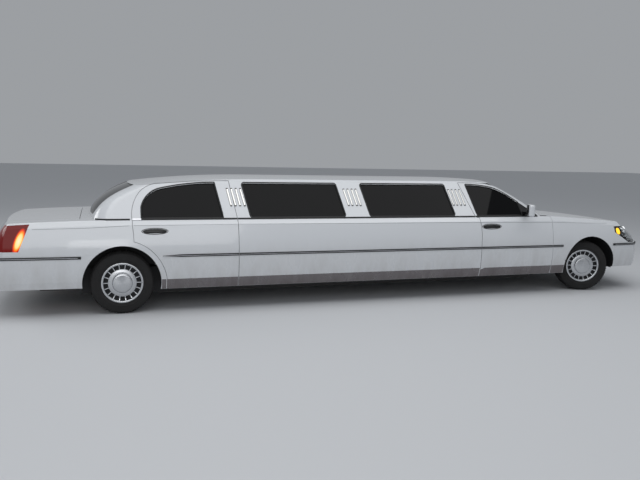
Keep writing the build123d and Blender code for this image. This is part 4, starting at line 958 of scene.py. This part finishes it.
def end_strips():
    """The rubber moulding carried round each bumper."""
    for end, way in (("rear", -1), ("front", 1)):
        centre = Vector((BUMPER_BACKS[end], 0, MOULDING_Z))
        hits = []
        for i in range(97):
            a = radians(-90 + 180 * i / 96)
            ray = Vector((way * cos(a), sin(a), 0))
            hits.append(body_skin.ray_cast(centre + ray * 2000, -ray, 2200)[0])
        path = []
        for i, place in enumerate(hits):
            along = hits[min(i + 1, len(hits) - 1)] - hits[max(i - 1, 0)]
            out = along.cross(UP).normalized()
            path.append((place, UP, out if out.dot(place - centre) > 0 else -out))
        new_piece(f"{end}_bumper_moulding", *swept(path, MOULDING), seal_rubber, "body", "liner_plastic")
        new_piece(f"{end}_bumper_moulding_bead", *swept(path[1:-1], MOULDING_BEAD), chrome_plate, "body",
                  "chrome_trim")


end_strips()


HEADLAMP_CORE = Vector((front(395), 0, 763))
LENS_WALL, HOUSING_WALL = 3.0, 2.0


def lamp_shell(name, is_lens, finish, wall):
    """The faces of the CAD headlamps that look away from their core, or the others, as a thin shell."""
    sheet = bmesh.new()
    sheet.from_mesh(bpy.data.objects["headlamps"].data)
    bmesh.ops.remove_doubles(sheet, verts=sheet.verts, dist=MERGE)
    sheet.normal_update()
    drop = [f for f in sheet.faces
            if (f.normal.dot((f.calc_center_median() - HEADLAMP_CORE * MM).normalized()) > 0.3) != is_lens]
    bmesh.ops.delete(sheet, geom=drop, context="FACES")
    mesh = bpy.data.meshes.new(name)
    sheet.to_mesh(mesh)
    sheet.free()
    mesh.materials.append(finish)
    mesh.shade_smooth()
    mesh.set_sharp_from_angle(angle=radians(35))
    piece = riding(name, mesh, "body")
    shell = piece.modifiers.new("wall", "SOLIDIFY")
    shell.thickness, shell.offset = wall * MM, -1.0
    return piece


def skin_patch(name, tree, sign, centre, half_x, half_z, lean, proud, finish, body, slot, power=2.6):
    """A low dome on the side of a skin: a rounded oblong about centre (x, z), leaning by lean."""
    points = []
    rings, around = 6, 40
    for i in range(rings + 1):
        share = i / rings
        for dx, dz in oval(around, half_x * share, half_z * share, 2 / power):
            x, z = centre[0] + dx + dz * lean, centre[1] + dz
            hit = tree.ray_cast(Vector((x, sign * 1400, z)), Vector((0, -sign, 0)), 1000)
            y = hit[0].y if hit[0] else sign * 900
            points.append(Vector((x, y + sign * (proud * (1 - share ** 4) - 0.6), z)))
    points += [p - Vector((0, sign * 3, 0)) for p in points[-around:]]
    faces = lattice(rings + 2, around) + [row_caps(rings + 2, around)[1]]
    return new_piece(name, points, faces, finish, body, slot)


LAMP_BOWLS = ((455, 74), (640, 80))    # distance from the centre plane, radius
BOWL_PROFILE = [(1.0, 2), (0.97, 2), (0.8, -26), (0.55, -44), (0.25, -54), (0.02, -57), (0.02, -61), (0.3, -58),
                (0.62, -47), (0.86, -28), (1.04, 2)]
BULB_PROFILE = [(0.5, -58), (9, -56), (9, -34), (7, -27), (3, -22), (0.5, -21)]


MARKER_CENTRE = (front(466), 806)
MARKER_LEAN = -0.2


def front_lamps():
    """Lens and housing shells, reflector bowls with their bulbs, and the amber side lenses."""
    skin = tree_of("headlamps")
    lens = lamp_shell("headlamp_lenses", True, clear_acrylic, LENS_WALL)
    lamp_shell("headlamp_lenses_housing", False, lamp_housing, HOUSING_WALL)
    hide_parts("headlamps")
    turn_forward = Matrix.Rotation(radians(90), 4, "Z")
    for side, sign in SIDES.items():
        for y, radius in LAMP_BOWLS:
            face_x = min(skin.ray_cast(Vector((x_nose + 200, sign * across, HEADLAMP_CORE.z)),
                                       Vector((-1, 0, 0)), 900)[0].x for across in (y, y + radius))
            place = Matrix.Translation((face_x - 22, sign * y, HEADLAMP_CORE.z)) @ turn_forward
            bowl = turned("bowl", [(r * radius, out) for r, out in BOWL_PROFILE], metallised_bowl, 48)
            bulb = turned("bulb", BULB_PROFILE, clear_acrylic, 16)
            placed(f"headlamp_bowl_{y}_{side}", [bowl, bulb], place, "body")
        skin_patch(f"side_marker_surround_{side}", skin, sign, MARKER_CENTRE, 54, 62, MARKER_LEAN, 2.5,
                   lamp_housing, "body", "liner_plastic")
        skin_patch(f"side_marker_{side}", skin, sign, MARKER_CENTRE, 36, 47, MARKER_LEAN, 6, lit_amber, "body",
                   "lamp_clear")


front_lamps()

MIRROR_CENTRE = (front(-1045), 1065, 1108)
MIRROR_SWEEP = 22
MIRROR_HALF_WIDTH, MIRROR_HALF_HEIGHT = 62, 56
MIRROR_RIM = ((0, -38), (0, -41.5), (4, -43), (8, -41), (8, -38))     # inset, depth
MIRROR_GLASS = ((8, -38), (8, -40.6), (9, -41.2))
SAIL = [(-1034, 1031), (-1059, 1178), (-1046, 1184), (-832, 1043), (-818, 1032), (-824, 1026), (-1030, 1026)]


def mirror_rings(stations):
    """Points and faces of the mirror's rim or glass, facing backwards."""
    rings = [[(depth, across, rise) for across, rise in
              oval(40, MIRROR_HALF_WIDTH - inset, MIRROR_HALF_HEIGHT - inset, 0.62)] for inset, depth in stations]
    return rings_joined(rings, cap_last=stations is MIRROR_GLASS)


def door_mirrors():
    for side, sign in SIDES.items():
        body = f"front_door_{side}_body"
        x, y, z = MIRROR_CENTRE
        matrix = Matrix.Translation((x, sign * y, z)) @ Matrix.Rotation(radians(sign * MIRROR_SWEEP), 4, "Z")
        rim = bare_mesh("mirror_rim", *mirror_rings(MIRROR_RIM), grained_polypropylene, True)
        glass = bare_mesh("mirror_glass", *mirror_rings(MIRROR_GLASS), mirror_silver)
        placed(f"mirror_glass_{side}", [glass], matrix, body)
        placed(f"mirror_rim_{side}", [rim], matrix, body)
        out = cabin_out(sign)
        rings = [[cabin_side(front(dx), z, sign) + out * d for dx, z in SAIL] for d in (-0.5, 3.5)]
        new_piece(f"mirror_corner_cover_{side}", *rings_joined(rings), handle_abs, body, "liner_plastic",
                  smooth=False)


door_mirrors()


# Door cards: vinyl-covered boards on the doors' inner faces, with an armrest and a pull

CARD_ARCH_RADIUS = 525         # clearance of the rear cards round the wheel arch
CARD_FOOT_Z, CARD_TOP_Z = 325, 892
CARD_ROWS, CARD_PITCH = 9, 45
CARD_EDGE, CARD_THICKNESS = 3, 15
CARD_RUNS = {"front": (front(-1600), front(-650)), "rear": (rear(200), rear(1225))}
ARMREST = [(-30, -2), (-34, 40), (-22, 58), (8, 62), (26, 50), (30, 20), (22, -2)]
ARMREST_Z = 640
ARMREST_RUNS = {"front": (front(-1480), front(-860)), "rear": (rear(640), rear(1120))}
PULL = [(-9, -3), (-9, 6), (-5, 11), (5, 11), (9, 6), (9, -3)]
PULL_Z = 790
PULL_RUNS = {end: (run[1] - 130, run[1]) for end, run in ARMREST_RUNS.items()}


def card_foot(end, x):
    """Lowest place of a door card, clear of the rear wheel arch."""
    across = abs(x - x_rear_axle)
    if end == "front" or across > CARD_ARCH_RADIUS:
        return CARD_FOOT_Z
    return max(CARD_FOOT_Z, tyre_radius + (CARD_ARCH_RADIUS ** 2 - across ** 2) ** 0.5)


def door_cards():
    for end in ENDS:
        for side, sign in SIDES.items():
            skin = tree_of(f"{end}_door_{side}")
            body = f"{end}_door_{side}_body"

            def inner_y(x, z):
                return skin.ray_cast(Vector((x, sign * 600, z)), Vector((0, sign, 0)), 400)[0].y

            columns = steps(*CARD_RUNS[end], CARD_PITCH)
            rows, n = len(columns), CARD_ROWS + 1
            points = []
            for inner in (False, True):
                for i, x in enumerate(columns):
                    foot = card_foot(end, x)
                    for j in range(n):
                        z = foot + (CARD_TOP_Z - foot) * j / CARD_ROWS
                        edge = i in (0, rows - 1) or j in (0, CARD_ROWS)
                        off = (CARD_EDGE if edge else CARD_THICKNESS) if inner else 0.3
                        points.append(Vector((x, inner_y(x, z) - sign * off, z)))
            back = lattice(rows, n, wrapped=False)
            border = ([j for j in range(n)] + [i * n + n - 1 for i in range(1, rows)]
                      + [(rows - 1) * n + j for j in reversed(range(n - 1))]
                      + [i * n for i in reversed(range(1, rows - 1))])
            faces = (back + [tuple(rows * n + q for q in reversed(quad)) for quad in back]
                     + [(a, rows * n + a, rows * n + b, b) for a, b in zip(border, border[1:] + border[:1])])
            new_piece(f"{end}_door_card_{side}", points, faces, card_vinyl, body, "cabin_leather")
            for word, profile, height, run, finish, slot in (
                    ("armrest", ARMREST, ARMREST_Z, ARMREST_RUNS[end], seat_leather, "cabin_leather"),
                    ("pull", PULL, PULL_Z, PULL_RUNS[end], chrome_plate, "chrome_trim")):
                path = [(Vector((x, inner_y(x, height) - sign * (CARD_THICKNESS - 1), height)), UP,
                         Vector((0, -sign, 0))) for x in steps(*run, 60)]
                rest = new_piece(f"{end}_door_{word}_{side}", *swept(path, profile), finish, body, slot)
                soften(rest, 4)


door_cards()


# Seats: foam pads swelled by cloth pressure, then drawn in along their sewn channels

PAD_VOXEL = 18
PAD_PRESSURE = 4.0
PAD_FRAMES = 20
PAD_SWELL = 22
CHANNEL_DEPTH, CHANNEL_WIDTH = 7.0, 9.0

FRONT_CUSHION = [(front(-1352), 402), (front(-1352), 520), (front(-1405), 556), (front(-1825), 528),
                 (front(-1845), 402)]
FRONT_BACK = [(front(-1872), 470), (front(-1856), 590), (front(-2002), 1000), (front(-2040), 1026),
              (front(-2086), 1010), (front(-2000), 470)]
FRONT_HEADREST = [(front(-2022), 1052), (front(-2016), 1120), (front(-2045), 1136), (front(-2096), 1136),
                  (front(-2102), 1060)]
REAR_CUSHION = [(rear(512), 402), (rear(512), 542), (rear(955), 580), (rear(996), 545), (rear(1000), 402)]
REAR_BACK = [(rear(285), 551), (rear(482), 553), (rear(480), 574), (rear(422), 600), (rear(222), 1090),
             (rear(180), 1118), (rear(112), 1110), (rear(120), 1060)]
BENCH_CUSHION = [(220, 402), (220, 528), (250, 546), (556, 546), (556, 402)]
BENCH_BACK = [(584, 560), (574, 700), (584, 925), (604, 946), (690, 946), (690, 560)]
BENCH_PLACES = steps(rear(1384), front(-2264), 850)
BENCH_GAP = 6                  # from the end of a place to its pad
BENCH_CHANNELS = 114

# Pads drawn across the car: name, outline, nearest and furthest place from the centre, pitch of the sewn channels
SEAT_PADS = (
    ("front_seat_cushion", FRONT_CUSHION, 172, 676, 84), ("front_seat_back", FRONT_BACK, 172, 676, 84),
    ("front_seat_headrest", FRONT_HEADREST, 300, 550, 0), ("rear_seat_cushion", REAR_CUSHION, 8, 608, 100),
    ("rear_seat_back", REAR_BACK, 8, 608, 100),
)
# All pads: name, outline, whether it is drawn across the car, from, to, pitch of the sewn channels
PADS = [(f"{name}_{side}", outline, True, *sorted((sign * near, sign * far)), pitch)
        for name, outline, near, far, pitch in SEAT_PADS for side, sign in SIDES.items()]
for number, (x0, x1) in enumerate(zip(BENCH_PLACES, BENCH_PLACES[1:]), 1):
    for word, outline in (("cushion", BENCH_CUSHION), ("back", BENCH_BACK)):
        PADS.append((f"side_bench_{word}_{number}", outline, False, x0 + BENCH_GAP, x1 - BENCH_GAP, BENCH_CHANNELS))


def swell(pad):
    """Remeshes a pad and swells it with cloth pressure, no point moving further than PAD_SWELL."""
    grid = pad.modifiers.new("grid", "REMESH")
    grid.mode, grid.voxel_size = "VOXEL", PAD_VOXEL * MM
    rest = evaluated_mesh(pad)
    pad.modifiers.remove(grid)
    pad.data = rest
    cloth = pad.modifiers.new("foam", "CLOTH")
    cloth.settings.use_pressure = True
    cloth.settings.uniform_pressure_force = PAD_PRESSURE
    cloth.settings.effector_weights.gravity = 0
    for number in range(1, PAD_FRAMES + 1):
        scene.frame_set(number)
    moved = evaluated_mesh(pad)
    pad.modifiers.remove(cloth)
    scene.frame_set(1)
    for before, after in zip(rest.vertices, moved.vertices):
        step = after.co - before.co
        if step.length > PAD_SWELL * MM:
            step = step.normalized() * PAD_SWELL * MM
        before.co += step


def draw_in(mesh, across, start, stop, pitch):
    """Presses a pad's sewn channels into it: seams at even places between its two ends."""
    seams = steps(start, stop, pitch)[1:-1]
    normals = [point.normal.copy() for point in mesh.vertices]
    for point, normal in zip(mesh.vertices, normals):
        place = (point.co.y if across else point.co.x) / MM
        away = min(abs(place - seam) for seam in seams)
        point.co -= normal * CHANNEL_DEPTH * exp(-(away / CHANNEL_WIDTH) ** 2) * MM


def seat_pads():
    for name, outline, across, start, stop, pitch in PADS:
        pad = linked(name, bare_mesh(name, *prism(outline, across, start, stop), seat_leather, smooth=True))
        swell(pad)
        finer = pad.modifiers.new("finer", "SUBSURF")
        finer.levels = finer.render_levels = 1
        pad.data = evaluated_mesh(pad)
        pad.modifiers.remove(finer)
        if pitch:
            draw_in(pad.data, across, start, stop, pitch)
        pad.data.materials.clear()
        pad.data.materials.append(seat_leather)
        pad.data.shade_smooth()
        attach(pad, "body")
    for node, pad in (("front_seat", "front_seat_cushion_right"), ("rear_seat", "rear_seat_cushion_right"),
                      ("side_bench", "side_bench_cushion_1")):
        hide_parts(node)


# Carpeted plinths under the cushions: name, from and to along the car, from and to across it
PLINTH_FOOT_Z, PLINTH_TOP_Z = 277, 398
PLINTHS = (
    ("front_seat_plinth_right", front(-1980), front(-1380), -650, -190),
    ("front_seat_plinth_left", front(-1980), front(-1380), 190, 650),
    ("rear_seat_plinth_right", rear(512), rear(985), -600, -172),
    ("rear_seat_plinth_left", rear(512), rear(985), 172, 600),
    ("side_bench_plinth", rear(1386), front(-2266), 240, 690),
)
POST_X, POST_RADIUS = front(-2056), 6
POST_ACROSS, POST_HEIGHTS = (385, 465), (1000, 1070)


def seat_plinths():
    """The plinths, and the chrome posts of the headrests."""
    for name, x0, x1, y0, y1 in PLINTHS:
        outline = [(x0 + 12, PLINTH_FOOT_Z), (x0, PLINTH_FOOT_Z + 20), (x0 + 4, PLINTH_TOP_Z),
                   (x1 - 4, PLINTH_TOP_Z), (x1, PLINTH_FOOT_Z + 20), (x1 - 12, PLINTH_FOOT_Z)]
        soften(new_piece(name, *prism(outline, True, y0, y1), pile_carpet, "body", "cabin_plastic", smooth=False), 6)
    circle = [(POST_RADIUS * cos(pi * i / 6), POST_RADIUS * sin(pi * i / 6)) for i in range(12)]
    for side, sign in SIDES.items():
        posts = [swept([(Vector((POST_X, sign * y, z)), Vector((1, 0, 0)), Vector((0, 1, 0))) for z in POST_HEIGHTS],
                       circle) for y in POST_ACROSS]
        new_piece(f"front_seat_headrest_posts_{side}", *joined(posts), chrome_plate, "body", "chrome_trim")


seat_pads()
seat_plinths()


# Wipers on the windscreen's foot, the fuel flap's shut line, and the rear wheels' splash guards

WIPER_BLADE = [(-4, 0), (-3, 7), (3, 7), (4, 0)]
WIPER_ARM = [(-7, 0), (-5, 5), (5, 5), (7, 0)]
WIPERS = ((600, 40, 640), (20, -540, 60))      # blade from and to, and the pivot, as places across the car
WIPER_FOOT_Z = 1052
FLAP_CENTRE, FLAP_HALF = (rear(-430), 842), 78
FLAP_LINE = [(-1.3, -1), (-1.3, 0.5), (1.3, 0.5), (1.3, -1)]
# Outline of the guards that close the wheel houses towards the frame: from the axle, height
GUARD_OUTLINE = [(296, 205), (306, 190), (421, 190), (421, 470), (326, 470), (296, 440)]
GUARD_Y, GUARD_THICKNESS = 704, 4


def on_screen(tree, y, z, lift):
    """A place in front of the windscreen, and the way out of the glass there."""
    hit = tree.ray_cast(Vector((x_nose, y, z)), Vector((-1, 0, 0)), 4000)
    return hit[0] + hit[1] * lift, hit[1]


def wipers():
    tree = tree_of("windscreen", "windscreen_frame")
    for number, (y0, y1, pivot) in enumerate(WIPERS, 1):
        path = []
        for i, y in enumerate(steps(y0, y1, 40)):
            place, normal = on_screen(tree, y, WIPER_FOOT_Z + 4 + i, 2)
            path.append((place, normal.cross(Vector((0, 1, 0))).normalized(), normal))
        blade = swept(path, WIPER_BLADE)
        middle = path[len(path) // 2][0]
        start, normal = on_screen(tree, pivot, WIPER_FOOT_Z - 12, 4)
        along = middle + normal * 8 - start
        across = normal.cross(along).normalized()
        arm = swept([(start + along * share, across, normal) for share in (0, 0.4, 0.8, 1)], WIPER_ARM)
        new_piece(f"wiper_{number}", *joined([blade, arm]), seal_rubber, "body", "liner_plastic")


def fuel_flap():
    path = []
    for i, (dx, dz) in enumerate(oval(48, FLAP_HALF, FLAP_HALF, 0.45)):
        a = 2 * pi * i / 48
        x, z = FLAP_CENTRE[0] + dx, FLAP_CENTRE[1] + dz
        path.append((Vector((x, skin_y(x, z, 1), z)), Vector((cos(a), 0, sin(a))), Vector((0, 1, 0))))
    new_piece("fuel_flap_line", *swept(path, FLAP_LINE, closed=True), seal_rubber, "body", "liner_plastic")


def splash_guards():
    for side, sign in SIDES.items():
        for word, turn in (("fore", 1), ("aft", -1)):
            outline = [(x_rear_axle + turn * dx, z) for dx, z in GUARD_OUTLINE]
            new_piece(f"rear_splash_guard_{word}_{side}",
                      *prism(outline, True, sign * GUARD_Y, sign * (GUARD_Y - GUARD_THICKNESS)),
                      grained_polypropylene, "body", "liner_plastic", smooth=False)


wipers()
fuel_flap()
splash_guards()


# Camera

CAMERA_PLACE = (-3083.5, -8291.0, 1793.0)
CAMERA_YAW = 18.28             # degrees from +Y towards +X
CAMERA_PITCH = 7.57            # degrees down
CAMERA_ROLL = 1.37
FOCAL_PIXELS = 669.0
IMAGE_WIDTH = 640
SENSOR = 36.0

lens = bpy.data.cameras.new("camera")
lens.sensor_width = SENSOR
lens.lens = FOCAL_PIXELS / IMAGE_WIDTH * SENSOR
lens.clip_end = 200
camera = linked("camera", lens)
turn = (Matrix.Rotation(radians(-CAMERA_YAW), 4, "Z") @ Matrix.Rotation(radians(90 - CAMERA_PITCH), 4, "X")
        @ Matrix.Rotation(radians(CAMERA_ROLL), 4, "Z"))
camera.matrix_world = Matrix.Translation(Vector(CAMERA_PLACE) * MM) @ turn
scene.camera = camera
scene.view_settings.view_transform = "Standard"


# Studio: a pale floor, soft boxes and an even pale surround

def stage_floor():
    mesh = bpy.data.meshes.new("studio_floor")
    half = 60
    mesh.from_pydata([(-half, -half, 0), (half, -half, 0), (half, half, 0), (-half, half, 0)], [], [(0, 1, 2, 3)])
    mesh.materials.append(material("studio_floor_paint", "#c9cbce", Roughness=0.9))
    linked("studio_floor", mesh)


def soft_box(name, place, target, size, power):
    """A rectangular lamp at a place, turned to a target, with its size in metres and its power in watts."""
    light = bpy.data.lights.new(name, "AREA")
    light.shape = "RECTANGLE"
    light.size, light.size_y = size
    light.energy = power
    lamp = linked(name, light)
    lamp.location = place
    lamp.rotation_euler = (Vector(target) - Vector(place)).to_track_quat("-Z", "Y").to_euler()


stage_floor()
soft_box("sky_box", (0, -2, 9), (0, 0, 0), (14, 9), 500)
soft_box("side_box", (-4, -10, 4), (0, 0, 0.8), (10, 4), 150)
soft_box("rear_box", (-9, 3, 4), (-3, 0, 0.8), (5, 3), 100)
soft_box("camera_box", (-3.3, -8.6, 2.1), (-1.5, 0, 0.7), (1.6, 1.2), 10)

world = bpy.data.worlds.new("studio_air")
world.use_nodes = True
scene.world = world
air = world.node_tree.nodes["Background"]
air.inputs["Color"].default_value = linear("#dfe3e8")
air.inputs["Strength"].default_value = 0.45
